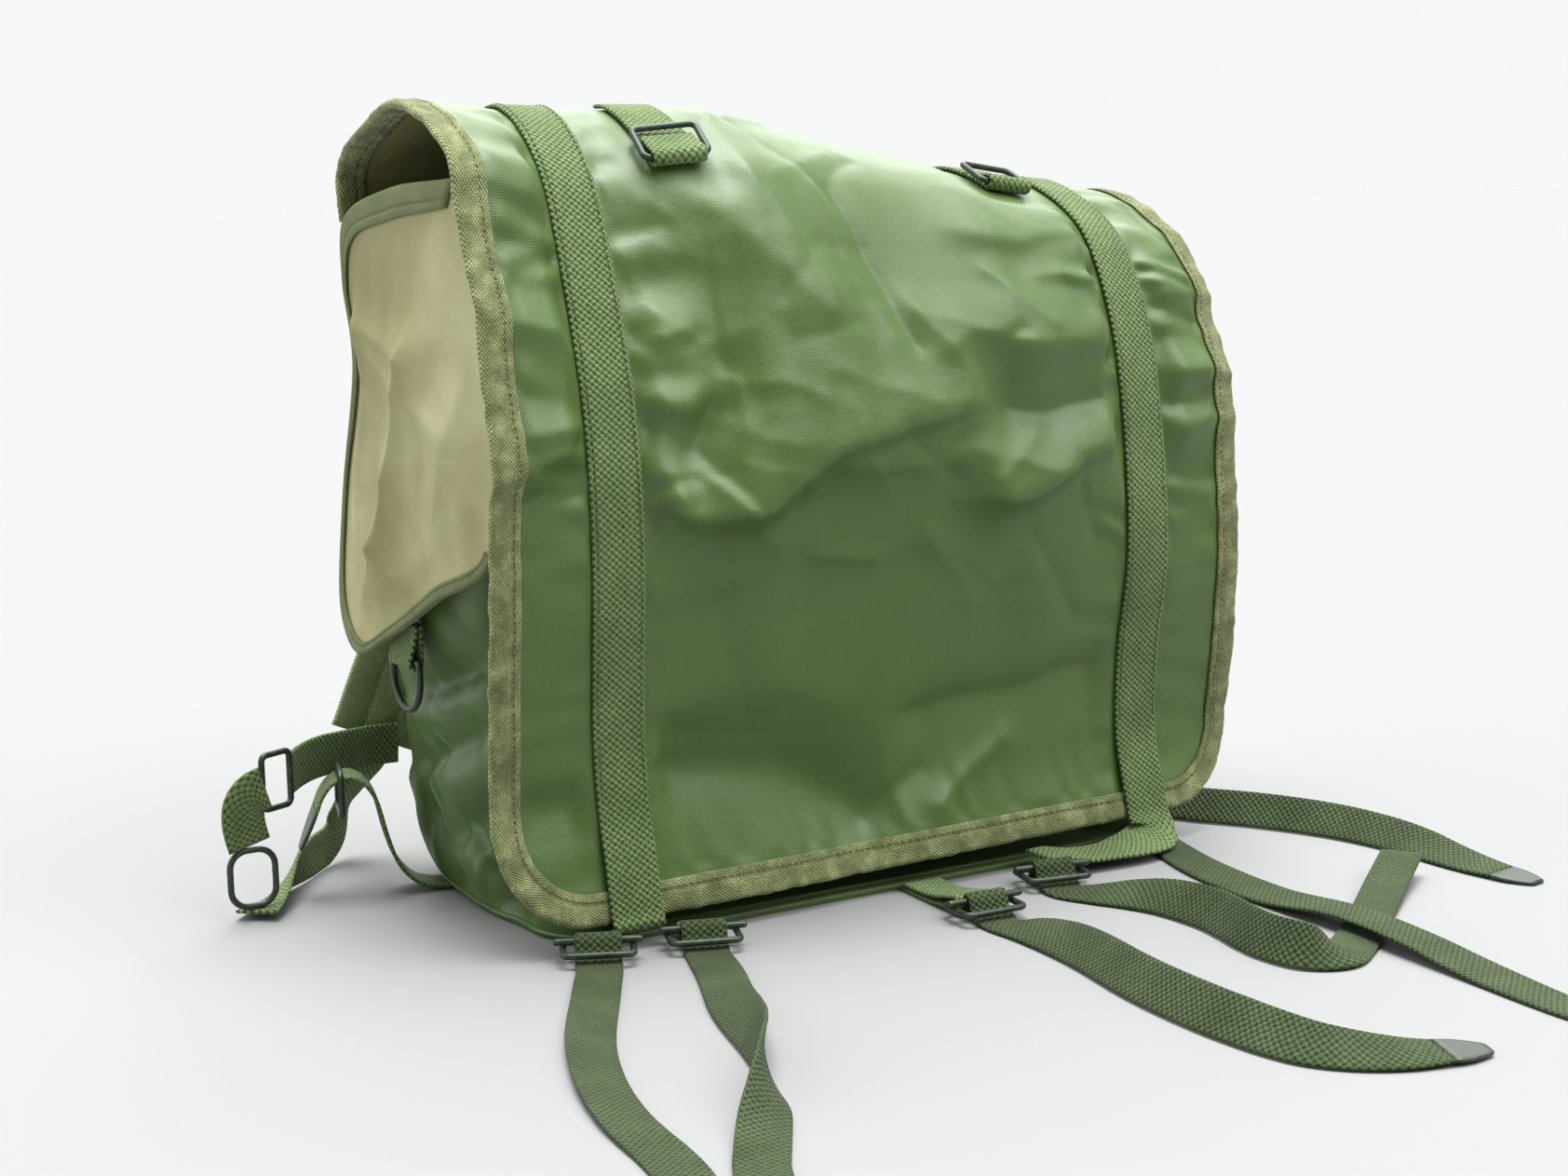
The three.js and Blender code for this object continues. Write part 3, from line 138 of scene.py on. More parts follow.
# Corners of a ring's bar: distance in from its end, drop
RING_CORNER = [(0, 1.6), (0.5, 0.5), (1.6, 0)]
RING_BOW_STOPS = 25
RING_TAB = {"rise": 17, "straight": 8, "bulge": 1.6, "bulge_rise": 6, "sewn": 4}

# Wire frames on the crown
TOP_FRAME = {"half": 15, "length": 20, "corner": 3, "lift": 1.8}
TOP_FRAMES = {"left": (-90, 140), "right": (99, 122)}
TOP_TAB = {"length": 62, "back": 12, "gap": 0.7, "bulge": 1.2, "bulge_run": 6, "clear": 2, "tuck": 4,
           "step": 6}

# Buckles on the surface: x, y and heading of the strap that leaves
BUCKLE = {"half": 15, "length": 20, "corner": 3, "height": 6, "bar_radius": 1.6, "bar_half": 19}
BUCKLE_BAR_Z = BUCKLE["height"] + WIRE_RADIUS + GAP + BUCKLE["bar_radius"]
BUCKLES = {
    "outer_left": (-157, -99, 245), "inner_left": (-111, -108, 250),
    "inner_right": (14, -141, 267), "outer_right": (70, -116, 258),
}
CLIMB_IN = [(-8, 1.6), (-4.8, 4.4)]
CLIMB_ANGLES = [200, 145, 90, 35]
CLIMB_OUT = [(3.5, 7.1), (5.4, 4.2), (8.6, 1.9)]
FOLD_ANGLES = np.arange(0, 181, 15)
INNER_TAB = {"low_share": 0.5, "high_share": 0.45, "bulge": 0.8, "setback": 4}

# Straps on the surface: x, y, rise, tilt from flat (0) to the edge (90)
STRAP_ROUTES = {
    "floor_strap_outer_left": [
        (-164, -114, 0, 0), (-180, -143, 0, 4), (-207, -193, 0, 8), (-223, -235, 0, 8), (-231, -271, 0, 4),
        (-234, -306, 0, 0), (-238, -330, 0, 0), (-247, -362, 0, 0)],
    "floor_strap_inner_left": [
        (-116, -122, 0, 0), (-126, -150, 0, -8), (-143, -190, 0, -28), (-159, -236, 0, -62),
        (-172, -264, 0, -92), (-181, -284, 0, -128), (-196, -306, 0, -166), (-214, -336, 0, -180),
        (-223, -362, 0, -180)],
    "floor_strap_inner_right": [
        (13, -157, 0, 0), (14, -180, 0, -20), (11, -215, 0, -40), (2, -270, 0, -50), (2, -322, 0, -48),
        (12, -357, 0, -34), (38, -376, 0.4, -14), (51, -379, 1.2, -4)],
    "floor_strap_outer_right": [
        (67, -132, 0, 0), (75, -150, 0, -14), (85, -172, 0, -34), (87, -207, 0, -52), (79, -250, 0, -60),
        (84, -272, 0, -56), (99, -276, 0, -24), (118, -264, 0, -6), (150, -240, 0, 0), (188, -212, 4, 0),
        (216, -193, 9, 0)],
    "base_strap_right": [
        (162.6, -74, 0, 0), (156, -92, 0, 0), (141, -142, 0, -6), (136, -195, 0.6, -6), (137, -235, 5.2, 0),
        (135, -282, 5, 0), (133, -322, 0.8, -4), (131, -368, 0, 0), (133, -402, 0, 0)],
    "shoulder_lower_right": [
        (174.4, 46, 0, 0), (181, 6, 0, -8), (191, -32, 0, -30), (200, -58, 0, -44), (221, -91, 0, -46),
        (238, -127, 0, -42), (246, -164, 0, -32), (248, -200, 0, -12), (251, -222, 0.8, 0)],
}
STRAP_SAMPLE = 16
TIPPED_STRAPS = ("floor_strap_inner_left", "floor_strap_inner_right", "shoulder_lower_right",
                 "shoulder_lower_left")
TIP_SHAPE = [(GAP, 1), (4, 1), (8, 0.95), (11, 0.86), (15, 0.7), (18, 0.55), (20, 0.4)]

# Free ends of the lid straps: x, y, z, turn, lean
LID_STRAP_ENDS = {
    "left": [(-134, -93.9, 11.4, 0, 0), (-134, -93, 8.9, 0, 0), (-134, -89.6, 8.7, 0, 0)],
    "right": [
        (148, -92.6, 14.6, 0, 0), (147.5, -95, 11, -8, -6), (144, -98, 9, -34, -14),
        (137, -100.5, 8, -56, -12), (127, -101.5, 7, -74, -6), (114, -101, 6, -86, 0),
        (98, -100, 6.5, -90, 0), (86, -99.5, 9.0, -90, 0), (76, -99.5, 9.0, -90, 0)],
}

# Shoulder straps
PAD = {"width": 45, "thick": 4, "ribs": 3, "stops": 49, "swell": 0.55, "groove": 0.42}
PAD_ROUTE = [(-52, 70.1, 292), (-60, 79, 252), (-88, 88, 205), (-126, 95, 158), (-158, 98, 110),
             (-179, 98, 64)]
SHOULDER_WEB_ROUTE = [(-168, 94.6, 61), (-184, 91, 62), (-202, 79, 64), (-214, 72, 65), (-226, 63, 65),
                      (-237.2, 51, 64)]
SHOULDER_BUCKLE = {"at": (-246, 45.5, 63), "heading": 205, "half": 12.5, "length": 17, "corner": 3}
LINK_ROUTE = [(-253.6, 39, 62, 180, 90), (-258.6, 39.2, 60.5, 180, 60), (-262.4, 39.8, 56.6, 180, 30),
              (-263.8, 40.6, 51, 180, 0), (-263, 41.6, 43, 180, -6), (-261, 42.4, 35.4, 180, -6)]
LOWER_RING = {"at": (-260, 43, 20), "half": 10.5, "length": 26, "corner": 8, "turn": 0}
FLOOR_LINK_ROUTE = [
    (-260, 41, 4.4, -40, 0), (-249, 54, 5, -40, 22), (-230, 76, 10.5, -40, 68), (-214, 94.2, 11.2, -20, 90),
    (-203, 106.6, 11.4, 41, 92), (-197.8, 111.2, 13, 41, 120), (-193.9, 114.5, 18, 41, 150),
    (-192.5, 115.7, 25, 41, 180), (-187, 110, 37, 30, 180), (-181, 103.4, 50, 10, 180),
    (-178.5, 101.4, 60, 2, 180)]
ADJUSTER = {"at": (-212, 57.5, 50.7), "half": 12.5, "length": 20, "corner": 3, "turn": 74}
LOWER_STRAP_ROUTE = [
    (-163.7, 48, 1.3, 84, 0), (-178, 50, 4.6, 78, 0), (-187.5, 51.5, 15, 76, 0), (-193, 52.5, 32, 75, 0),
    (-197, 53.5, 48, 74, 0), (-204, 55.3, 57, 74, 0), (-212, 57.5, 58, 74, 0), (-219, 59.5, 52, 74, 0),
    (-223, 60.6, 43, 74, 0)]
RIGHT_BUCKLE = {"half": 12.5, "length": 20, "corner": 3}

# Finer steps of the looks
FINE_STRAP = 2.5
FINE_BEND = 1.2
FINE_LID = 2.1
FINE_WIRE_SIDES = 12
WIRE_ANGLES = 2 * math.pi * np.arange(FINE_WIRE_SIDES)[:, None] / FINE_WIRE_SIDES
# Round bars: run in from each end in radii, share of the radius
BAR_ENDS = [(0, 0.7), (0.35, 0.93), (1, 1)]
LINING_GAP = 0.25
STITCH = {"pitch": 3.4, "long": 2.5, "thick": 0.7, "shoulder": 0.6, "inset": 2.2, "proud": 0.05,
          "tape_inset": 9.2, "start": 2}

UP = np.array((0.0, 0.0, 1.0))
BACK = np.array((0.0, 1.0, 0.0))
SIGN = {"left": -1, "right": 1}


# Numbers


def unit(vectors):
    return vectors / np.linalg.norm(vectors, axis=-1, keepdims=True)


def smooth_step(low, high, x):
    t = np.clip((np.asarray(x, float) - low) / (high - low), 0, 1)
    return t * t * (3 - 2 * t)


def weights(places, x):
    """Matrix that turns values at known places into values at x, along a smooth curve."""
    places = np.asarray(places, float)
    x = np.atleast_1d(np.asarray(x, float))
    low = np.searchsorted(places[1:-1], x, "left")
    span = places[low + 1] - places[low]
    t = (x - places[low]) / span
    t2 = t * t
    t3 = t2 * t
    matrix = np.zeros((len(x), len(places)))
    row = np.arange(len(x))
    np.add.at(matrix, (row, low), 2 * t3 - 3 * t2 + 1)
    np.add.at(matrix, (row, low + 1), 3 * t2 - 2 * t3)
    for knot, share in ((low, t3 - 2 * t2 + t), (low + 1, t3 - t2)):
        before = np.maximum(knot - 1, 0)
        after = np.minimum(knot + 1, len(places) - 1)
        slope = span * share / (places[after] - places[before])
        np.add.at(matrix, (row, after), slope)
        np.add.at(matrix, (row, before), -slope)
    return matrix


def rounded(distance, tip):
    """Distance from a line whose sharp bottom is rounded by the size of the tip."""
    return np.sqrt(distance * distance + tip * tip) - tip


def chord_places(points):
    steps = np.linalg.norm(np.diff(points, axis=0), axis=1)
    return np.concatenate(([0], np.cumsum(steps)))


def sample_route(rows, step, dimensions):
    """Even samples of a route's columns along its length."""
    rows = np.asarray(rows, float)
    places = chord_places(rows[:, :dimensions])
    count = max(round(places[-1] / step), len(rows) - 1)
    return weights(places, np.linspace(0, places[-1], count + 1)) @ rows


def direction_of(turn, lean):
    turn = np.radians(turn)
    lean = np.radians(lean)
    return np.stack([np.cos(turn) * np.cos(lean), np.sin(turn) * np.cos(lean), np.sin(lean)], -1)


def heading_vector(degrees):
    return direction_of(np.array(degrees, float), np.array(0.0))


def tangents(points):
    return unit(np.gradient(points, axis=0))


# Waves of an uneven curve: share, rate, phase, the seed's part in the phase
DRIFT_WAVES = [(0.5, 1, 0, 2.3), (0.33, 1.63, 1.7, 5.1), (0.2, 2.71, 4.1, 3.7)]
# Wandering of a wave's spacing and height: share, pitch in waves, seed
WANDER = {"spacing": (0.45, 4.3, 0), "height": (0.4, 3.1, 9)}


def drift(x, seed):
    """Smooth uneven curve between about -1 and 1; x is in units of its own swing."""
    total = 0
    for size, rate, phase, part in DRIFT_WAVES:
        total = total + size * np.sin(rate * 2 * math.pi * x + (phase + seed * part))
    return total


def uneven_wave(x, pitch, seed):
    """Wave of about the given pitch whose spacing and height wander."""
    share, waves, own = WANDER["spacing"]
    phase = x / pitch + share * drift(x / (pitch * waves), seed + own)
    share, waves, own = WANDER["height"]
    height = 1 - share + share * drift(x / (pitch * waves), seed + own)
    return height * np.sin(2 * math.pi * phase)


# Meshes


def make_piece(name, points, faces, material, uv=None):
    """Object of smooth-shaded faces; points in millimetres, uv in metres."""
    mesh = bpy.data.meshes.new(name)
    mesh.from_pydata((np.asarray(points) * MM).tolist(), [], [list(face) for face in faces])
    mesh.polygons.foreach_set("use_smooth", np.ones(len(mesh.polygons), bool))
    if uv is not None:
        corner = np.zeros(len(mesh.loops), int)
        mesh.loops.foreach_get("vertex_index", corner)
        layer = mesh.uv_layers.new(name="Cloth")
        layer.data.foreach_set("uv", np.asarray(uv, float)[corner].ravel())
    mesh.materials.append(material)
    mesh.update()
    piece = bpy.data.objects.new(name, mesh)
    bpy.context.scene.collection.objects.link(piece)
    return piece


def grid_faces(rows, columns, closed=False, ring=False):
    """Quads of a grid; each row may close into a loop, and the rows into a ring."""
    index = np.arange(rows * columns).reshape(rows, columns)
    if ring:
        index = np.concatenate([index, index[:1]])
    if closed:
        index = np.concatenate([index, index[:, :1]], 1)
    corners = (index[:-1, :-1], index[:-1, 1:], index[1:, 1:], index[1:, :-1])
    return np.stack(corners, -1).reshape(-1, 4).tolist()


def outward(points, faces):
    """Faces turned so that a closed solid's normals point out."""
    points = np.asarray(points)
    volume = 0.0
    for face in faces:
        corner = points[list(face)]
        for k in range(1, len(face) - 1):
            volume += float(np.dot(corner[0], np.cross(corner[k], corner[k + 1])))
    if volume < 0:
        return [list(face)[::-1] for face in faces]
    return faces


def cloth_map(across, along):
    """Map of a cloth in metres, from places across and along it in millimetres."""
    return np.stack(np.broadcast_arrays(across, along), -1).reshape(-1, 2) * MM


def tube_piece(name, rows, material, uv=None, ring=False):
    """Solid through like closed sections, capped or joined into a ring."""
    count, sides = rows.shape[:2]
    points = rows.reshape(-1, 3)
    faces = grid_faces(count, sides, closed=True, ring=ring)
    if not ring:
        faces.append(list(range(sides))[::-1])
        faces.append(list(range((count - 1) * sides, count * sides)))
    return make_piece(name, points, outward(points, faces), material, uv)


def sheet_parts(outer, inner):
    """Points and faces of a two-sided sheet from matching grids."""
    rows, columns = outer.shape[:2]
    under = rows * columns
    points = np.concatenate([outer.reshape(-1, 3), inner.reshape(-1, 3)])
    faces = grid_faces(rows, columns)
    faces += [[under + a for a in face[::-1]] for face in grid_faces(rows, columns)]
    index = np.arange(under).reshape(rows, columns)
    rim = [*index[0], *index[1:, -1], *index[-1, -2::-1], *index[-2:0:-1, 0]]
    for a, b in zip(rim, rim[1:] + rim[:1]):
        faces.append([int(b), int(a), int(under + a), int(under + b)])
    return points, faces


def strap_profile(width, thick, across_steps=8, edge_steps=3):
    """Closed cross-section of webbing with round edges, as offsets across and off the face."""
    edge = thick / 2
    flat = np.linspace(-1, 1, across_steps + 1) * (width / 2 - edge)
    angles = np.radians(np.linspace(90, -90, edge_steps + 2))[1:-1]
    right = [(width / 2 - edge + edge * math.cos(a), edge * math.sin(a)) for a in angles]
    top = [(x, edge) for x in flat]
    bottom = [(-x, -y) for x, y in top]
    left = [(-x, -y) for x, y in right]
    return np.array(top + right + bottom + left)


def ribbon_rows(points, widths, profile):
    """Sections of a strap along points; widths give the direction of its width."""
    along = tangents(points)
    face = unit(np.cross(widths, along))
    across = np.cross(along, face)
    return (points[:, None] + across[:, None] * profile[None, :, 0, None]
            + face[:, None] * profile[None, :, 1, None])


def smooth_path(points, widths, step):
    """The same path with even, finer stops."""
    points = np.asarray(points, float)
    places = chord_places(points)
    count = max(round(places[-1] / step), len(points))
    matrix = weights(places, np.linspace(0, places[-1], count + 1))
    return matrix @ points, unit(matrix @ np.asarray(widths, float))


def strap_piece(name, points, widths, width, thick, material, step=FINE_STRAP):
    """Webbing along a path, with a map of metres across and along it."""
    points, widths = smooth_path(points, widths, step)
    profile = strap_profile(width, thick)
    rows = ribbon_rows(points, widths, profile)
    return tube_piece(name, rows, material, cloth_map(profile[:, 0], chord_places(points)[:, None]))


def half_turn(run, height, turn):
    """Webbing round a bar, from below it to above it: run ahead and height of each stop."""
    angles = np.radians(FOLD_ANGLES)
    return list(zip(run + turn * np.sin(angles), height - turn * np.cos(angles)))


def wire_rows(path, plane_normal, radius):
    """Round sections along a flat loop."""
    along = unit(np.roll(path, -1, 0) - np.roll(path, 1, 0))
    side = unit(np.cross(along, plane_normal))
    ring = side[:, None] * np.cos(WIRE_ANGLES) + plane_normal * np.sin(WIRE_ANGLES)
    return path[:, None] + radius * ring


def frame_outline(half, length, corner, steps=6):
    """Round-cornered wire outline in its own plane: bar at y = 0."""
    centres = [(half - corner, corner, -90), (half - corner, length - corner, 0),
               (corner - half, length - corner, 90), (corner - half, corner, 180)]
    outline = []
    for x, y, start in centres:
        angles = np.radians(start + np.linspace(0, 90, steps + 1))
        outline.append(np.stack([x + corner * np.cos(angles), y + corner * np.sin(angles)], -1))
    return np.concatenate(outline)


def placed(outline, origin, right, ahead):
    """Flat outline set into the part: x along right, y along ahead."""
    return np.asarray(origin, float) + outline[:, :1] * right + outline[:, 1:2] * ahead


def wire_piece(name, outline, origin, right, ahead, radius, material):
    path = placed(outline, origin, right, ahead)
    return tube_piece(name, wire_rows(path, np.cross(right, ahead), radius), material, ring=True)


def bar_piece(name, middle, right, half, radius, material):
    """Round bar with softened ends."""
    ends = [(radius * run - half, share) for run, share in BAR_ENDS]
    ends += [(-run, share) for run, share in ends[::-1]]
    runs, shares = np.array(ends).T[..., None, None]
    side = unit(np.cross(right, UP))
    ring = side * np.cos(WIRE_ANGLES) + np.cross(side, right) * np.sin(WIRE_ANGLES)
    return tube_piece(name, middle + right * runs + radius * shares * ring, material)


# Lid surface


LID_ALONG = chord_places(LID_STATIONS.mean(0))
LID_LENGTH = LID_ALONG[-1]
NORMAL_REACH = 2


def lid_middle(across, along):
    by_section = weights(LID_ACROSS, across) @ LID_STATIONS.reshape(len(LID_ACROSS), -1)
    by_section = by_section.reshape(len(across), len(LID_ALONG), 2)
    yz = (by_section * weights(LID_ALONG, along)[:, :, None]).sum(1)
    return np.concatenate([(LID_CENTRE + across)[:, None], yz], 1)


def lid_normal(across, along):
    down = lid_middle(across, along + NORMAL_REACH) - lid_middle(across, along - NORMAL_REACH)
    right = lid_middle(across + NORMAL_REACH, along) - lid_middle(across - NORMAL_REACH, along)
    return unit(np.cross(down, right))


def line_distances(across, along, start, end):
    """Distance past the ends of a line and to its side."""
    start = np.asarray(start, float)
    run_to = np.asarray(end, float) - start
    length = math.hypot(*run_to)
    dx, dy = run_to / length
    run = (across - start[0]) * dx + (along - start[1]) * dy
    side = (across - start[0]) * dy - (along - start[1]) * dx
    return np.maximum(np.maximum(-run, run - length), 0), side


def fold_height(across, along):
    edge = STRAP_OFFSET - LID_WEB / 2
    inside = 1 - smooth_step(edge - FOLD_FADE, edge, np.abs(across))
    total = np.zeros(len(across))
    for start, end, width, height in LID_FOLDS:
        past, side = line_distances(across, along, start, end)
        total += height * np.exp(-(side * side + past * past) / width ** 2)
    return inside * total


def lid_point(across, along, off, extra=0.0):
    across, along = np.broadcast_arrays(np.asarray(across, float), np.asarray(along, float))
    shape = across.shape
    across = across.ravel()
    along = along.ravel()
    lift = np.ravel(off) + fold_height(across, along) + np.ravel(extra)
    place = lid_middle(across, along) + lid_normal(across, along) * lift[:, None]
    return place.reshape(*shape, 3)


def lid_cross(across, along):
    reach = LID_WEB / 2
    return unit(lid_point(across + reach, along, 0) - lid_point(across - reach, along, 0))


def lid_half(along):
    into = np.maximum(along - (LID_LENGTH - LID_CORNER), 0)
    return LID_HALF - LID_CORNER + np.sqrt(np.maximum(LID_CORNER ** 2 - into ** 2, 0))


# Crests and troughs of the lid's cloth. Each runs through places (across, along), has a height and falls
# off over one distance above it and another below it.
LID_CRESTS = [
    {"at": [(-128, 270), (-115, 285), (-82, 287)], "height": 8, "above": 24, "below": 9},
    {"at": [(-88, 284), (-72, 284), (-56, 272), (-38, 258), (0, 250), (44, 243)],
     "height": [10, 10, 9.5, 9, 7.5, 5], "above": [60, 66, 56, 46, 32, 18], "below": 9},
    {"at": [(38, 284), (58, 285), (82, 275), (128, 260)], "height": 9, "above": 30, "below": 8},
    {"at": [(46, 240), (85, 249), (128, 243)], "height": -5, "above": 18, "below": 14},
    {"at": [(-30, 206), (10, 220), (44, 212), (62, 215), (90, 221), (128, 225)],
     "height": [0.5, 1.5, 6, 9, 8, 7], "above": [50, 62, 72, 76, 70, 60], "below": 15},
    {"at": [(-42, 265), (0, 268), (42, 266)], "height": 3, "above": 12, "below": 10},
    {"at": [(-106, 126), (-84, 152), (-62, 176), (-42, 194), (-22, 207)], "height": 6, "above": 44,
     "below": 22},
    {"at": [(-128, 206), (-112, 208), (-96, 203)], "height": 4, "above": 13, "below": 6},
    {"at": [(-128, 234), (-110, 237), (-95, 229)], "height": 4, "above": 13, "below": 7},
    {"at": [(-106, 254), (-96, 239), (-84, 217)], "height": -3.4, "above": 10, "below": 12},
    {"at": [(40, 164), (84, 166), (128, 162)], "height": 3, "above": 24, "below": 9},
    {"at": [(84, 186), (104, 190), (128, 193)], "height": 3.5, "above": 12, "below": 6},
    {"at": [(-60, 330), (0, 322), (70, 336)], "height": -2.5, "above": 30, "below": 40},
    {"at": [(6, 385), (60, 381), (128, 377)], "height": -3.2, "above": 10, "below": 24},
    {"at": [(-128, 392), (-100, 393), (-70, 400), (-40, 412), (-8, 428)], "height": -6.5, "above": 24,
     "below": 26},
    {"at": [(-128, 366), (-80, 362), (-30, 372)], "height": 2, "above": 26, "below": 16},
]
# The same on the two margins outside the straps
MARGIN_CRESTS = [
    {"at": [(-230, 140), (-120, 164)], "height": 5, "above": 40, "below": 11},
    {"at": [(-230, 194), (-120, 210)], "height": 5, "above": 28, "below": 10},
    {"at": [(-230, 276), (-120, 232)], "height": 6.5, "above": 36, "below": 9},
    {"at": [(120, 198), (230, 182)], "height": 5, "above": 36, "below": 10},
    {"at": [(120, 240), (230, 228)], "height": 5, "above": 26, "below": 9},
    {"at": [(120, 268), (230, 248)], "height": 4, "above": 14, "below": 8},
    {"at": [(-230, 402), (-120, 402)], "height": -3.5, "above": 14, "below": 18},
]
MARGIN_EASE = {"strap": 13, "edge": (180, 198), "edge_share": 0.55}
# Narrow creases: from and to as (across, along), width, height
LID_CREASES = [
    ((-16, 146), (9, 216), 4.5, -1.8), ((-26, 150), (-2, 214), 6, 1.2), ((22, 431), (62, 401), 9, 3.4),
    ((50, 219), (66, 212), 3, -2), ((70, 300), (100, 345), 6, -1.2), ((-90, 330), (-76, 380), 7, -1),
    ((10, 300), (38, 330), 5, 0.9), ((-118, 196), (-92, 210), 5, 1.2), ((-14, 430), (16, 412), 8, -2.4),
    ((-60, 150), (-30, 196), 6, 1.4), ((-100, 310), (-94, 318), 3, 0.8), ((10, 196), (40, 238), 6, 1.2),
]
CREST_FADE = 16
CREST_ROUND = 0.3
CREST_DECAY = 1.35
CREASE_ROUND = 0.6
CREST_SCALE = 1.5
CREASE_SCALE = 1.4
SEAM_FADE = 16
# Small creases scattered over the panel: bounds across and along, slant, length, width and height
CRUMPLE = {"count": 66, "seed": 11, "across": (-116, 116), "along": (100, 335), "slant": (30, 22),
           "lean_right": 0.68, "length": (20, 62), "width": (2.8, 6.5), "height": (-1.3, 1.5)}
# Uneven run of the cloth's lines: size, pitch, seed
SWAY = {"across": (2, 71, 1.3), "along": (2, 83, 2.6)}
# Calm cloth round the crown's frames: distances to the sides of each, and below its bar
FRAME_CALM = {"aside": (15, 32), "below": (7, 24)}
# Gathers: line across, side of the cloth, first and last place along, pitch, height, reach, seed
GATHERS = [
    (-153.5, -1, 80, 345, 23, 3.0, 15, 1.0),
    (-187.5, 1, 90, 345, 26, 2.6, 14, 1.6),
    (-128.5, 1, 100, 350, 21, 1.7, 14, 2.0),
    (-128.5, 1, 110, 350, 43, 2.0, 30, 3.0),
    (128.5, -1, 90, 350, 21, 2.4, 15, 4.0),
    (128.5, -1, 90, 350, 47, 2.4, 32, 5.0),
    (153.5, 1, 85, 350, 23, 3.0, 15, 6.0),
    (187.5, -1, 85, 350, 28, 2.6, 14, 6.6),
]
GATHER_RISE = 5
GATHER_EASE = (40, 80)
GATHER_CRISP = 1.3
GATHER_SLANT = {"share": 0.35, "pitch": 90, "seed": 4}
CALM_SHARE = 0.25
CALM_ALONG = (40, 90)
HEM_GATHER = {"pitch": 19, "height": 1, "reach": 20, "seed": 7, "slant": 0.3, "inside": (112, 126)}
# Waves of the bound edges
EDGE_WAVE = {"height": 0.7, "pitch": 23, "reach": (4, 19), "from": (60, 110), "strap_clear": (14, 24)}
EDGE_SEEDS = {"left": 32, "right": 33, "hem": 34}


def crisp(wave):
    """Wave with steeper sides."""
    return np.tanh(GATHER_CRISP * wave) / math.tanh(GATHER_CRISP)


def crest_height(across, along, crest):
    """Height of one crest or trough, rounded at its top and fading at its ends."""
    at = np.array(crest["at"], float)
    held = np.clip(across.ravel(), at[0, 0], at[-1, 0])
    line = (weights(at[:, 0], held) @ at[:, 1]).reshape(across.shape)
    ahead = np.clip(held + 1, at[0, 0], at[-1, 0])
    slope = (weights(at[:, 0], ahead) @ at[:, 1]).reshape(across.shape) - line
    side = (along - line) / np.sqrt(1 + slope * slope)

    def value(key):
        """One value for the whole crest, or one for each of its places."""
        if isinstance(crest[key], list):
            return np.interp(held, at[:, 0], crest[key]).reshape(across.shape)
        return crest[key]

    reach = np.where(side < 0, value("above"), value("below"))
    first, last = at[0, 0], at[-1, 0]
    ends = smooth_step(first - CREST_FADE, first + CREST_FADE, across)
    ends = ends * (1 - smooth_step(last - CREST_FADE, last + CREST_FADE, across))
    fall = np.exp(-CREST_DECAY * rounded(side / reach, CREST_ROUND))
    return CREST_SCALE * value("height") * ends * fall


def crease_height(across, along, creases):
    """Height of narrow creases, each from one place to another."""
    total = 0
    for start, end, width, height in creases:
        past, side = line_distances(across, along, start, end)
        total = total + height * np.exp(-np.sqrt(side * side + past * past + CREASE_ROUND) / width)
    return total


def scattered_creases():
    """Creases picked by a fixed seed: from and to as (across, along), width, height."""
    pick = np.random.default_rng(CRUMPLE["seed"])
    rows = []
    for _ in range(CRUMPLE["count"]):
        middle = np.array([pick.uniform(*CRUMPLE["across"]), pick.uniform(*CRUMPLE["along"])])
        slant = math.radians(pick.normal(*CRUMPLE["slant"]))
        if pick.uniform() > CRUMPLE["lean_right"]:
            slant = -slant
        half = np.array((math.cos(slant), math.sin(slant))) * pick.uniform(*CRUMPLE["length"]) / 2
        width = pick.uniform(*CRUMPLE["width"])
        rows.append((middle - half, middle + half, width, pick.uniform(*CRUMPLE["height"])))
    return rows


ALL_CREASES = LID_CREASES + scattered_creases()


def gather_height(across, along):
    total = np.zeros(across.shape)
    for line, side, first, last, pitch, height, reach, seed in GATHERS:
        away = np.maximum((across - line) * side, 0)
        rise = smooth_step(0, GATHER_RISE, away) * np.exp(-away / reach) * (away > 0)
        where = smooth_step(first, first + GATHER_EASE[0], along)
        where = where * (1 - smooth_step(last - GATHER_EASE[1], last, along))
        where = CALM_SHARE * smooth_step(*CALM_ALONG, along) + (1 - CALM_SHARE) * where
        slant = GATHER_SLANT["share"] * drift(along / GATHER_SLANT["pitch"], seed + GATHER_SLANT["seed"])
        total += height * rise * where * crisp(uneven_wave(along + away * slant, pitch, seed))
    from_hem = np.maximum(LID_LENGTH - TAPE_FOLD - along, 0)
    rise = smooth_step(0, GATHER_RISE, from_hem) * np.exp(-from_hem / HEM_GATHER["reach"])
    inside = 1 - smooth_step(*HEM_GATHER["inside"], np.abs(across))
    slanted = across + HEM_GATHER["slant"] * from_hem
    wave = crisp(uneven_wave(slanted, HEM_GATHER["pitch"], HEM_GATHER["seed"]))
    return total + HEM_GATHER["height"] * rise * inside * wave


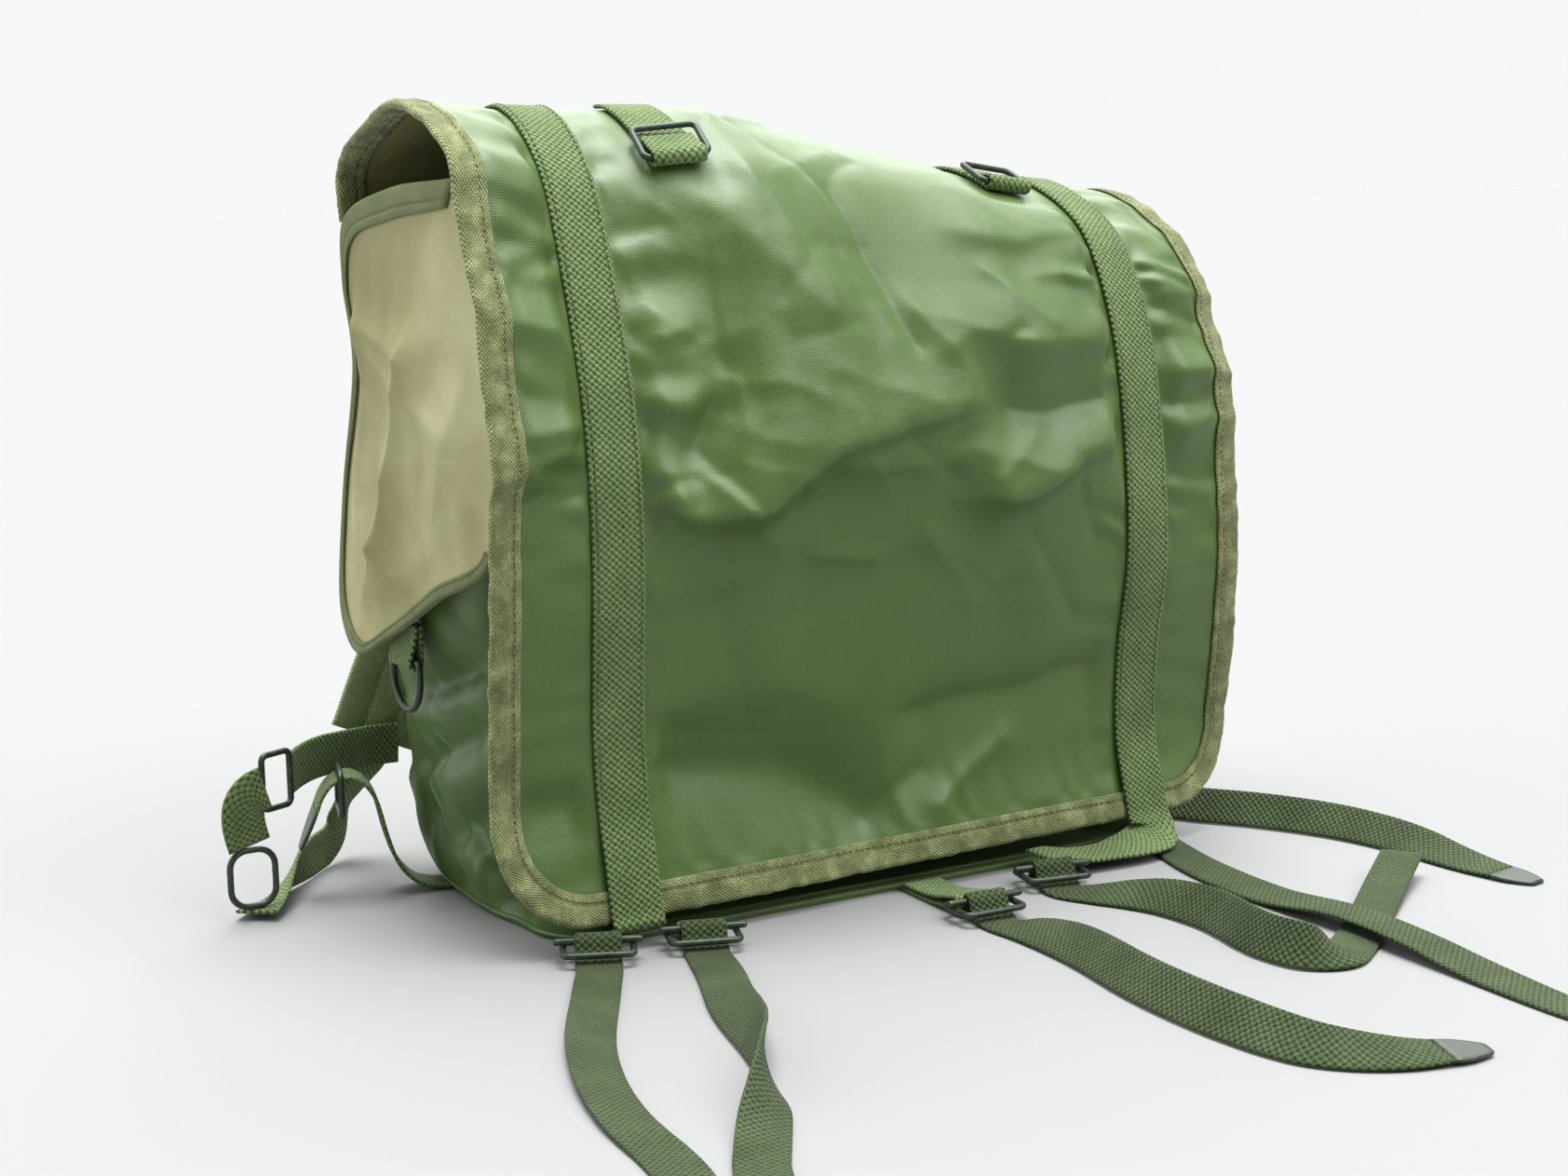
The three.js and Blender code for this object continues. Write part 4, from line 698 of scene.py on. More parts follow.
def edge_height(across, along):
    """Waves of the cloth and its tape along the two sides and the hem."""
    side_gap = lid_half(np.minimum(along, LID_LENGTH)) - np.abs(across)
    hem_gap = LID_LENGTH - along
    places = {"left": along, "right": along, "hem": across}
    wave = {key: uneven_wave(places[key], EDGE_WAVE["pitch"], seed) for key, seed in EDGE_SEEDS.items()}
    sides = np.where(across < 0, wave["left"], wave["right"]) * smooth_step(*EDGE_WAVE["from"], along)
    sides = sides * (1 - smooth_step(*EDGE_WAVE["reach"], side_gap)) * smooth_step(0, LID_CORNER, hem_gap)
    hem = wave["hem"] * smooth_step(*EDGE_WAVE["strap_clear"], np.abs(np.abs(across) - STRAP_OFFSET))
    hem = hem * (1 - smooth_step(*EDGE_WAVE["reach"], hem_gap)) * smooth_step(0, LID_CORNER, side_gap)
    return EDGE_WAVE["height"] * (sides + hem)


def wrinkle_height(across, along):
    """Folds of the lid's cloth beyond the broad ones, which they replace away from the crown's frames."""
    aside = np.abs(across)
    edge = STRAP_OFFSET - LID_WEB / 2
    inside = 1 - smooth_step(edge - SEAM_FADE, edge, aside)
    size, pitch, seed = SWAY["across"]
    x = across + size * drift(along / pitch, seed)
    size, pitch, seed = SWAY["along"]
    s = along + size * drift(across / pitch, seed)
    folds = sum(crest_height(x, s, crest) for crest in LID_CRESTS)
    folds = folds + CREASE_SCALE * crease_height(x, s, ALL_CREASES)
    broad = fold_height(across.ravel(), along.ravel()).reshape(across.shape)
    edge = STRAP_OFFSET + LID_WEB / 2
    margin = smooth_step(edge, edge + MARGIN_EASE["strap"], aside)
    margin = margin * (1 - (1 - MARGIN_EASE["edge_share"]) * smooth_step(*MARGIN_EASE["edge"], aside))
    margin = margin * sum(crest_height(across, s, crest) for crest in MARGIN_CRESTS)
    total = inside * folds + margin - broad + gather_height(across, along) + edge_height(across, along)
    for middle, bar in TOP_FRAMES.values():
        near = 1 - smooth_step(*FRAME_CALM["aside"], np.abs(across - middle))
        total = total * (1 - near * (1 - smooth_step(*FRAME_CALM["below"], along - bar)))
    return total


def lid_grid():
    rows = np.linspace(0, LID_LENGTH, round(LID_LENGTH / FINE_LID) + 1)
    share = np.linspace(-1, 1, round(2 * LID_HALF / FINE_LID) + 1)
    along = np.repeat(rows[:, None], len(share), 1)
    across = lid_half(rows)[:, None] * share[None]
    return across, along


def lid_piece(material):
    across, along = lid_grid()
    extra = wrinkle_height(across, along)
    outer = lid_point(across, along, CLOTH / 2, extra)
    inner = lid_point(across, along, -CLOTH / 2, extra)
    points, faces = sheet_parts(outer, inner)
    return make_piece("lid_cloth", points, faces, material, np.tile(cloth_map(across, along), (2, 1)))


def lid_lining_piece(material):
    """Inner face of the lid's cloth."""
    across, along = lid_grid()
    across = across[::2, ::2]
    along = along[::2, ::2]
    extra = wrinkle_height(across, along)
    face = lid_point(across, along, -CLOTH / 2 - LINING_GAP, extra)
    faces = [quad[::-1] for quad in grid_faces(*across.shape)]
    return make_piece("lid_lining", face.reshape(-1, 3), faces, material, cloth_map(across, along))


# Upper face of the tape: distance in from the edge, drop
TAPE_TOP = [(TAPE_FOLD, 0.35), (TAPE_FOLD - 0.6, 0), (10, 0), (8.4, 0), (8, 0.35), (7.6, 0), (6, 0), (4, 0)]
TAPE_INNER = CLOTH / 2 + 0.5
TAPE_OUTER = TAPE_INNER + TAPE
TAPE_TURN = (60, 30, 0, -30, -60)
TAPE_ROUND = 0.6
# Uneven run of the lid's tape: size, pitch, seed, and how far in from the edge the tape follows it
TAPE_WAVER = [(0.35, 31, 3), (0.25, 9, 5)]
TAPE_WAVER_IN = 3


def tape_profile():
    """U-shaped tape round an edge: distance in from the edge and height off the cloth."""
    centre = TAPE_OUTER - GAP - TAPE
    top = [(x, TAPE_OUTER - drop) for x, drop in [*TAPE_TOP, (centre, 0)]]
    bend = [(centre - TAPE_OUTER * math.cos(a), TAPE_OUTER * math.sin(a)) for a in np.radians(TAPE_TURN)]
    lower = [(x, -y) for x, y in top[::-1]]
    lining = [(-GAP, 0), (TAPE_ROUND - GAP, TAPE_INNER), (TAPE_FOLD, TAPE_INNER)]
    return np.array(top + bend + lower + [(x, -y) for x, y in lining[:0:-1]] + lining)


def lid_edge_stations(step):
    """Places round the two sides and the hem, with the way in from the edge."""
    straight = LID_LENGTH - LID_CORNER
    runs = np.linspace(0, straight, round(straight / step) + 1)
    left = [((-LID_HALF, s), (1, 0)) for s in runs]
    turn = np.linspace(0, math.pi / 2, round(LID_CORNER * math.pi / 2 / step) + 1)[1:]
    flat = LID_HALF - LID_CORNER
    corner = [((-flat - LID_CORNER * math.cos(a), straight + LID_CORNER * math.sin(a)),
               (math.cos(a), -math.sin(a))) for a in turn]
    hem_places = np.linspace(-flat, flat, round(2 * flat / step) + 1)[1:-1]
    hem = [((x, LID_LENGTH), (0, -1)) for x in hem_places]
    half = left + corner
    other = [((-p[0], p[1]), (-w[0], w[1])) for p, w in half[::-1]]
    stations = half + hem + other
    return np.array([p for p, _ in stations], float), np.array([w for _, w in stations], float)


def lid_binding_piece(material):
    places, ways = lid_edge_stations(FINE_STRAP)
    profile = tape_profile()
    spots = places[:, None] + ways[:, None] * profile[None, :, :1]
    run = chord_places(places)
    waver = sum(size * drift(run / pitch, seed) for size, pitch, seed in TAPE_WAVER)
    spots = spots - ways[:, None] * (waver[:, None, None] * (profile[None, :, :1] < TAPE_WAVER_IN))
    extra = wrinkle_height(spots[..., 0], spots[..., 1])
    rows = lid_point(spots[..., 0], spots[..., 1], np.broadcast_to(profile[:, 1], extra.shape), extra)
    return tube_piece("lid_binding_tape", rows, material, cloth_map(profile[:, 0], run[:, None]))


def lid_strap_piece(side, material):
    middle = SIGN[side] * STRAP_OFFSET
    along = np.linspace(LID_STRAP_START, LID_LENGTH, round(LID_LENGTH / LID_STRAP_STEP))
    lift = smooth_step(LID_LENGTH - STRAP_LIFT_FROM, LID_LENGTH - STRAP_LIFT_TO, along)
    off = CLOTH / 2 + GAP + LID_WEB_THICK / 2 + STRAP_LIFT * lift
    across = np.full(len(along), float(middle))
    sewn = lid_point(across, along, off)
    sewn_widths = lid_cross(across, along)
    ends = np.array(LID_STRAP_ENDS[side], float)
    points = np.concatenate([sewn, ends[:, :3]])
    widths = np.concatenate([sewn_widths, direction_of(ends[:, 3], ends[:, 4])])
    return strap_piece(f"lid_strap_{side}_webbing", points, widths, LID_WEB, LID_WEB_THICK, material)


def stitched(name, points, lift, material):
    """Row of thread stitches along points spaced a stitch apart; lift is the way off the cloth."""
    ahead = unit(np.diff(points, axis=0))
    middle = (points[1:] + points[:-1]) / 2
    side = unit(np.cross(ahead, lift[:-1]))
    off = np.cross(side, ahead)
    half = STITCH["long"] / 2
    tips = np.stack([middle - ahead * half, middle + ahead * half], 1)
    ring = np.stack([side, off, -side, -off], 1) * STITCH["thick"] / 2
    near = middle[:, None] - ahead[:, None] * half * STITCH["shoulder"] + ring
    far = middle[:, None] + ahead[:, None] * half * STITCH["shoulder"] + ring
    vertices = np.concatenate([tips[:, :1], near, far, tips[:, 1:]], 1)
    shape = []
    for a, b in ((1, 2), (2, 3), (3, 4), (4, 1)):
        shape += [(0, b, a), (a, b, b + 4, a + 4), (9, a + 4, b + 4)]
    each = vertices.shape[1]
    faces = [[each * k + corner for corner in face] for k in range(len(middle)) for face in shape]
    return make_piece(name, vertices.reshape(-1, 3), faces, material)


def lid_strap_stitches(side, edge, material):
    middle = SIGN[side] * STRAP_OFFSET
    start = LID_STRAP_START + STITCH["start"]
    along = np.arange(start, LID_LENGTH - STRAP_LIFT_FROM, STITCH["pitch"])
    across = np.full(len(along), middle + edge * (LID_WEB / 2 - STITCH["inset"]))
    points = lid_point(across, along, CLOTH / 2 + GAP + LID_WEB_THICK + STITCH["proud"])
    name = "outer" if edge * middle > 0 else "inner"
    return stitched(f"lid_strap_{side}_stitches_{name}", points, lid_normal(across, along), material)


def lid_binding_stitches(material):
    places, ways = lid_edge_stations(STITCH["pitch"])
    spots = places + ways * STITCH["tape_inset"]
    off = TAPE_OUTER + STITCH["proud"]
    extra = wrinkle_height(spots[:, :1], spots[:, 1:])[:, 0]
    points = lid_point(spots[:, 0], spots[:, 1], off, extra)
    return stitched("lid_binding_stitches", points, lid_normal(spots[:, 0], spots[:, 1]), material)


def top_tab_piece(side, material):
    across, bar = TOP_FRAMES[side]
    low = CLOTH / 2 + TOP_TAB["gap"] + LID_WEB_THICK / 2
    turn = WIRE_RADIUS + GAP + LID_WEB_THICK / 2
    start = bar - TOP_TAB["length"] + TOP_TAB["tuck"]
    lower = [(s, low) for s in np.arange(start, bar - TOP_TAB["clear"], TOP_TAB["step"])]
    upper_end = low + LID_WEB_THICK + GAP
    upper = [(bar - TOP_TAB["bulge_run"], upper_end + TOP_TAB["bulge"]),
             (bar - TOP_TAB["back"], upper_end)]
    stops = np.array(lower + half_turn(bar, low + turn, turn) + upper, float)
    places = np.full(len(stops), float(across))
    points = lid_point(places, stops[:, 0], stops[:, 1])
    widths = lid_cross(places, stops[:, 0])
    name = f"top_tab_{side}_webbing"
    return strap_piece(name, points, widths, LID_WEB, LID_WEB_THICK, material, FINE_BEND)


def top_frame_piece(side, material):
    across, bar = TOP_FRAMES[side]
    bar_off = CLOTH / 2 + TOP_TAB["gap"] + LID_WEB_THICK + GAP + WIRE_RADIUS
    right = lid_cross(across, bar)
    far = lid_point(across, bar - TOP_FRAME["length"], TOP_FRAME["lift"])
    face = unit(np.cross(right, far - lid_point(across, bar, 0)))
    ahead = np.cross(face, right)
    origin = lid_point(across, bar, bar_off)
    outline = frame_outline(TOP_FRAME["half"], TOP_FRAME["length"], TOP_FRAME["corner"])
    return wire_piece(f"top_frame_{side}_wire", outline, origin, right, ahead, WIRE_RADIUS, material)


# Body


# Steps round a corner of the body, along its wide and its narrow sides
CORNER_STEPS = 24
WIDE_STEPS = 80
NARROW_STEPS = 64
# Rows from the base to the rim, as shares of its height, which are closer together at first
CLOSE_TO = 0.12
BODY_SHARES = np.concatenate([np.linspace(0, CLOSE_TO, 16), np.linspace(CLOSE_TO, 1, 72)[1:]])
BASE_EASE = (0, 0.03)
# The row whose length is the map's width
MAP_ROW = 20


def rim_height(x, y):
    right = np.clip((x / RIM["half_x"] + 1) / 2, 0, 1)
    front = np.clip((RIM["back_y"] - y) / (RIM["back_y"] - RIM["front_y"]), 0, 1)
    back = RIM["back_left"] + (RIM["back_right"] - RIM["back_left"]) * right
    return back + (RIM["front_left"] + (RIM["front_right"] - RIM["front_left"]) * right - back) * front


def body_outline(half, front, back, corner):
    """Round-cornered outline with bowed sides: places and outward directions."""
    corners = [(half - corner, front + corner, -90), (half - corner, back - corner, 0),
               (corner - half, back - corner, 90), (corner - half, front + corner, 180)]
    places = []
    outs = []
    for k, (x, y, start) in enumerate(corners):
        angles = np.radians(start + np.linspace(0, 90, CORNER_STEPS + 1))
        out = np.stack([np.cos(angles), np.sin(angles)], -1)
        places.append(np.array((x, y)) + corner * out)
        outs.append(out)
        begin = places[-1][-1]
        end_out = out[-1]
        end = np.array(corners[(k + 1) % 4][:2]) + corner * end_out
        wide = start in (0, 180)
        t = np.linspace(0, 1, (WIDE_STEPS if wide else NARROW_STEPS) + 1)[1:-1, None]
        bow = 0 if wide else 4 * SIDE_BOW * t * (1 - t)
        places.append(begin + (end - begin) * t + bow * end_out * np.array((1.0, 0.0)))
        outs.append(np.repeat(end_out[None], len(t), 0))
    return np.concatenate(places), np.concatenate(outs)


# Hollow of the front under the hem, between the base's edge and the lid
UNDERCUT = {"depth": 25, "low": (0.6, 5), "high": (24, 56), "facing": (0.8, 0.98)}
WELT = {"row": 1, "radius": 1.2}
# Sharper folds of the sides, on top of the broad pleats
SIDE_FOLDS = [
    (-185, -46, 84, -0.15, 10, 78, 34), (-185, 2, 52, 0, 34, 44, -6), (-185, -24, 120, 0.5, 7, 40, 9),
    (-183, 20, 66, 0.4, 7, 56, 8), (-183, 46, 52, 0.5, 7, 44, 6), (-185, -16, 28, 1.1, 6, 24, 8),
    (-184, 22, 22, 1.3, 6, 20, 5), (-185, -18, 116, -2.6, 24, 22, 13), (-185, -8, 82, -2.2, 22, 22, 12),
    (-185, -22, 52, -1.5, 16, 22, 10), (185, -46, 92, -0.2, 10, 80, 14), (184, -8, 60, 0.3, 8, 50, 6),
]
FOLD_ROUND = 0.3


# Small creases of the body: slant, pitch, seed, depth
BODY_CREASES = {"down": (0.3, 17, 11, 1.6), "level": (0.2, 31, 12, 1), "front": (0.25, 26, 13, 1.5)}
CREASE_BOUNDS = {"low": (70, 190), "sides": (140, 175), "base": (2, 20)}


def pleat_depth(x, y, z):
    """Depth of the sides' broad pleats and sharper folds."""
    total = np.zeros(x.shape)
    for rows, sharp in ((PLEATS, False), (SIDE_FOLDS, True)):
        for px, py, pz, slope, width, reach, depth in rows:
            side = (y - py - slope * (z - pz)) / width
            fall = rounded(side, FOLD_ROUND) if sharp else side * side
            near = (np.sign(x) == np.sign(px)) & (np.abs(x) > RIM["half_x"] / 2)
            total += near * depth * np.exp(-fall - ((z - pz) / reach) ** 4)
    return total


def body_creases(x, y, z):
    """Small creases of the body's cloth, always inward."""

    def inward(key, place, other):
        slant, pitch, seed, depth = BODY_CREASES[key]
        return depth * (0.5 + 0.5 * uneven_wave(place + slant * other, pitch, seed))

    low = 1 - smooth_step(*CREASE_BOUNDS["low"], z)
    sides = smooth_step(*CREASE_BOUNDS["sides"], np.abs(x))
    creases = sides * (inward("down", y, z) * low + inward("level", z, y))
    creases = creases + (1 - sides) * inward("front", x, z)
    return creases * smooth_step(*CREASE_BOUNDS["base"], z)


def body_rows(inset, floor):
    rows = []
    for share, half, front, back in weights(BODY_SECTIONS[:, 0], BODY_SHARES) @ BODY_SECTIONS:
        places, outs = body_outline(half - inset, front + inset, back - inset, BODY_CORNER - inset)
        x, y = places.T
        z = np.maximum(share * rim_height(x, y), floor)
        press = (pleat_depth(x, y, z) + body_creases(x, y, z)) * smooth_step(*BASE_EASE, share)
        under = smooth_step(*UNDERCUT["low"], z) * (1 - smooth_step(*UNDERCUT["high"], z))
        press = press + UNDERCUT["depth"] * under * smooth_step(*UNDERCUT["facing"], -outs[:, 1])
        rows.append(np.stack([x - press * outs[:, 0], y - press * outs[:, 1], z], -1))
    return np.array(rows)


def body_uv(rows):
    return cloth_map(chord_places(rows[MAP_ROW]), rows[..., 2])


def body_pieces(cloth, lining):
    outer = body_rows(0, 0)
    count, sides = outer.shape[:2]
    points = np.concatenate([outer.reshape(-1, 3), [(0, 0, 0)]])
    faces = grid_faces(count, sides, closed=True)
    middle = count * sides
    faces += [[middle, (k + 1) % sides, k] for k in range(sides)]
    uv = np.concatenate([body_uv(outer), [(0, 0)]])
    shell = make_piece("body_cloth", points, faces, cloth, uv)

    inner = body_rows(WALL, BASE_THICK)
    rows = np.concatenate([inner, outer[-1:]])
    points = np.concatenate([rows.reshape(-1, 3), [(0, 0, BASE_THICK)]])
    faces = [face[::-1] for face in grid_faces(count + 1, sides, closed=True)]
    middle = (count + 1) * sides
    faces += [[middle, k, (k + 1) % sides] for k in range(sides)]
    uv = np.concatenate([body_uv(rows), [(0, 0)]])
    inside = make_piece("body_lining", points, faces, lining, uv)

    seam = outer[WELT["row"]]
    uv = cloth_map(np.zeros(FINE_WIRE_SIDES), chord_places(seam)[:, None])
    welt = tube_piece("body_base_welt", wire_rows(seam, UP, WELT["radius"]), cloth, uv, ring=True)
    return shell, inside, welt


# Side flaps


def flap_point(y, z, off, side):
    low = np.maximum(FLAP_CURL_FROM - z, 0) / FLAP_CURL_REACH
    x = -FLAP_X - FLAP_CURL * low * low
    if side == "left":
        heights, fronts, runs = FLAP_TUCK.T
        tuck = smooth_step(FLAP_TUCK_FROM, 0, y - np.interp(z, heights, fronts))
        return np.stack([x - off + FLAP_TUCK_IN * tuck, y - tuck * np.interp(z, heights, runs), z], -1)
    rear, front = RIGHT_FLAP_DROP["rear"], RIGHT_FLAP_DROP["front"]
    ahead = RIM["back_y"] - y
    drop = rear + (front - rear) * (ahead / (RIM["back_y"] - RIM["front_y"]))
    return np.stack([-x + off, RIM["back_y"] - ahead * RIGHT_FLAP_DROP["shrink"], z - drop], -1)


def flap_edge():
    rows = np.concatenate([FLAP_OUTLINE, FLAP_OUTLINE[:1]])
    t = np.arange(len(FLAP_OUTLINE) * FLAP_STEPS) / FLAP_STEPS
    return weights(np.arange(len(rows)), t) @ rows


# Creases of a flap: from and to as (y, z), width, height
FLAP_CREASES = [
    ((-14, 258), (27, 168), 11, 7), ((58, 268), (-16, 252), 8, 3.4), ((58, 262), (-46, 222), 9, 2.8),
    ((52, 254), (6, 190), 8, 2.6), ((27, 168), (54, 134), 9, 3), ((-44, 292), (24, 302), 9, 2.2),
    ((-62, 256), (-34, 190), 10, 3), ((30, 166), (-14, 140), 10, 2.4), ((62, 240), (60, 170), 10, 2.6),
    ((-20, 250), (-52, 196), 9, 2),
]
# Soft waves of a flap, slanted about a height, and the height below which its folds grow
FLAP_WAVE = {"slant": 0.22, "about": 230, "pitch": 41, "seed": 21, "height": 1.2}
FLAP_FALL = {"from": 318, "over": 60}
# Rings of points from the edge to the middle, as shares, closer together near the edge, where folds fade
FLAP_CLOSE_TO = 0.86
FLAP_SHARES = np.concatenate([np.linspace(1, FLAP_CLOSE_TO, 8), np.linspace(FLAP_CLOSE_TO, 0.03, 40)[1:]])
FLAP_FADE = (0.72, 0.9)
FLAP_INNER_LIFT = 0.6


def flap_folds(y, z):
    """Soft folds of a hanging flap, always outward."""
    fall = smooth_step(0, FLAP_FALL["over"], FLAP_FALL["from"] - z)
    slanted = y + FLAP_WAVE["slant"] * (z - FLAP_WAVE["about"])
    wave = 0.5 + 0.5 * uneven_wave(slanted, FLAP_WAVE["pitch"], FLAP_WAVE["seed"])
    return fall * (FLAP_WAVE["height"] * wave + crease_height(y, z, FLAP_CREASES))


def flap_piece(side, material):
    yz = FLAP_CENTRE + (flap_edge()[None] - FLAP_CENTRE) * FLAP_SHARES[:, None, None]
    y, z = yz[..., 0], yz[..., 1]
    lift = flap_folds(y, z) * (1 - smooth_step(*FLAP_FADE, FLAP_SHARES))[:, None]
    outer = flap_point(y, z, CLOTH / 2 + lift, side)
    inner = flap_point(y, z, -CLOTH / 2 + FLAP_INNER_LIFT * lift, side)
    rings, count = y.shape
    faces = grid_faces(rings, count, closed=True)
    under = rings * count
    last = (rings - 1) * count
    faces.append(list(range(last, last + count)))
    faces += [[under + a for a in face[::-1]] for face in faces]
    faces += [[(k + 1) % count, k, under + k, under + (k + 1) % count] for k in range(count)]
    points = np.concatenate([outer.reshape(-1, 3), inner.reshape(-1, 3)])
    uv = np.tile(cloth_map(y, z), (2, 1))
    return make_piece(f"side_flap_{side}_cloth", points, outward(points, faces), material, uv)


def flap_binding_piece(side, material):
    edge = flap_edge()[:FLAP_BOUND_SPANS * FLAP_STEPS + 1]
    ways = unit(FLAP_CENTRE - edge)
    profile = tape_profile()
    hem_end, sides_from = FLAP_HEM_SPANS
    narrow = smooth_step(hem_end * FLAP_STEPS, sides_from * FLAP_STEPS, np.arange(len(edge)))
    share = 1 - (1 - FLAP_TAPE_SHARE) * narrow
    spots = edge[:, None] + ways[:, None] * profile[None, :, :1] * share[:, None, None]
    off = np.broadcast_to(profile[None, :, 1], spots.shape[:2])
    rows = flap_point(spots[..., 0], spots[..., 1], off, side)
    uv = cloth_map(profile[:, 0], chord_places(edge)[:, None])
    return tube_piece(f"side_flap_binding_{side}_tape", rows, material, uv)


# Rings on the sides


def ring_bar(side):
    """Distance of a ring's bar from the middle, and its height."""
    bar_z = RING_BAR_Z[side]
    share = (bar_z + RING_TAB["rise"]) / rim_height(SIGN[side] * RIM["half_x"], RING_Y)
    reach = np.interp(share, BODY_SECTIONS[:, 0], BODY_SECTIONS[:, 1]) + SIDE_BOW
    return reach + GAP + LID_WEB_THICK + GAP + RING_WIRE, bar_z


def ring_tab_piece(side, material):
    bar_x, bar_z = ring_bar(side)
    turn = RING_WIRE + GAP + LID_WEB_THICK / 2
    inner_x = bar_x - turn
    outer_x = inner_x + LID_WEB_THICK + GAP
    top = bar_z + RING_TAB["rise"]
    bend = [(x, -down) for down, x in half_turn(-bar_z, bar_x, turn)]
    stops = [(inner_x, top), (inner_x, bar_z + RING_TAB["straight"]), *bend,
             (outer_x + RING_TAB["bulge"], bar_z + RING_TAB["bulge_rise"]),
             (outer_x, top - RING_TAB["sewn"]), (outer_x, top)]
    points = np.array([(SIGN[side] * x, RING_Y, z) for x, z in stops], float)
    widths = np.tile(BACK, (len(points), 1))
    name = f"ring_tab_{side}_webbing"
    return strap_piece(name, points, widths, LID_WEB, LID_WEB_THICK, material, FINE_BEND)


def ring_piece(side, material):
    bar_x, bar_z = ring_bar(side)
    bow = np.radians(np.linspace(0, 180, RING_BOW_STOPS))
    deep = RING_DEPTH - RING_HALF
    arc = np.stack([RING_HALF * np.cos(bow), deep + RING_HALF * np.sin(bow)], -1)
    end = [(RING_HALF - into, drop) for into, drop in [(0, deep / 2), *RING_CORNER]]
    bar = [(-x, drop) for x, drop in end] + [(0, 0)] + end[::-1]
    outline = np.concatenate([arc, np.array(bar)])
    origin = (SIGN[side] * bar_x, RING_Y, bar_z)
    return wire_piece(f"d_ring_{side}_wire", outline, origin, SIGN[side] * BACK, -UP, RING_WIRE, material)


# Buckles and straps on the surface


def lying_rows(route, step):
    rows = sample_route(route, step, 2)
    tilt = np.radians(rows[:, 3])
    edge = np.abs(np.sin(tilt)) * FLOOR_WEB / 2
    flat = np.abs(np.cos(tilt)) * FLOOR_WEB_THICK / 2
    points = np.stack([rows[:, 0], rows[:, 1], rows[:, 2] + edge + flat + FLOOR_CLEAR], -1)
    level = tangents(points) * np.array((1.0, 1.0, 0.0))
    level = np.cross(unit(level), UP)
    widths = level * np.cos(tilt)[:, None] + UP * np.sin(tilt)[:, None]
    return points, widths


def buckled_path(name, place):
    x, y, heading = place
    ahead = heading_vector(heading)
    turn = BUCKLE["bar_radius"] + GAP + FLOOR_WEB_THICK / 2
    angles = np.radians(CLIMB_ANGLES)
    over = list(zip(turn * np.cos(angles), BUCKLE_BAR_Z + turn * np.sin(angles)))
    climb = np.array(CLIMB_IN + over + CLIMB_OUT, float)
    points = np.array((x, y, 0.0)) + ahead * climb[:, :1] + UP * climb[:, 1:]
    across = np.cross(ahead, UP)
    widths = np.tile(across, (len(points), 1))
    lying, lying_widths = lying_rows(STRAP_ROUTES[name], STRAP_SAMPLE)
    return np.concatenate([points, lying]), np.concatenate([widths, lying_widths])


def tip_piece(name, points, widths, material):
    """Metal end on a strap, with softened edges."""
    ahead = unit(points[-1] - points[-2])
    face = unit(np.cross(widths[-1], ahead))
    across = np.cross(ahead, face)
    rows = []
    for run, share in TIP_SHAPE:
        profile = strap_profile(FLOOR_WEB * share, FLOOR_WEB_THICK)
        rows.append(points[-1] + ahead * run + across * profile[:, :1] + face * profile[:, 1:])
    return tube_piece(name, np.array(rows), material)


def inner_tab_piece(name, place, material):
    x, y, heading = place
    ahead = heading_vector(heading)
    bar = np.array((x, y, 0.0)) - ahead * BUCKLE["length"] / 2
    seam_y = BODY_SECTIONS[0, 2] - GAP
    reach = (bar[1] - seam_y) / ahead[1]
    turn = WIRE_RADIUS + GAP + FLOOR_WEB_THICK / 2
    low = FLOOR_WEB_THICK / 2 + FLOOR_CLEAR
    bend = half_turn(0, BUCKLE["height"], turn)
    upper = low + FLOOR_WEB_THICK + GAP
    start = FLOOR_WEB / 2 * abs(ahead[0] / ahead[1]) - reach
    stops = np.array([(start + GAP, low), (-reach * INNER_TAB["low_share"], low), *bend,
                      (-reach * INNER_TAB["high_share"], upper + INNER_TAB["bulge"]),
                      (start + INNER_TAB["setback"], upper)], float)
    points = bar + ahead * stops[:, :1]
    points[:, 2] = stops[:, 1]
    widths = np.tile(np.cross(ahead, UP), (len(points), 1))
    name = f"buckle_tab_{name}_webbing"
    return strap_piece(name, points, widths, FLOOR_WEB, FLOOR_WEB_THICK, material, FINE_BEND)


def turned_path(route, step):
    rows = sample_route(route, step, 3)
    return rows[:, :3], direction_of(rows[:, 3], rows[:, 4])


# Shoulder straps


def pad_piece(side, material):
    """Ribbed pad: three stuffed channels with stitched grooves between."""
    points = sample_route(PAD_ROUTE, FINE_STRAP, 3) * np.array((-SIGN[side], 1, 1))
    widths = np.cross(tangents(points), BACK)
    across = np.linspace(-1, 1, PAD["stops"])
    rib = np.abs(np.sin((across + 1) / 2 * PAD["ribs"] * math.pi)) ** PAD["swell"]
    height = PAD["thick"] / 2 * (PAD["groove"] + (1 - PAD["groove"]) * rib)
    top = np.stack([across * PAD["width"] / 2, height], -1)
    profile = np.concatenate([top, top[::-1] * np.array((1.0, -1.0))])
    rows = ribbon_rows(points, widths, profile)
    uv = cloth_map(profile[:, 0], chord_places(points)[:, None])
    return tube_piece(f"shoulder_pad_{side}_padding", rows, material, uv)


# Materials


NOISE_ROUGHNESS = 0.55


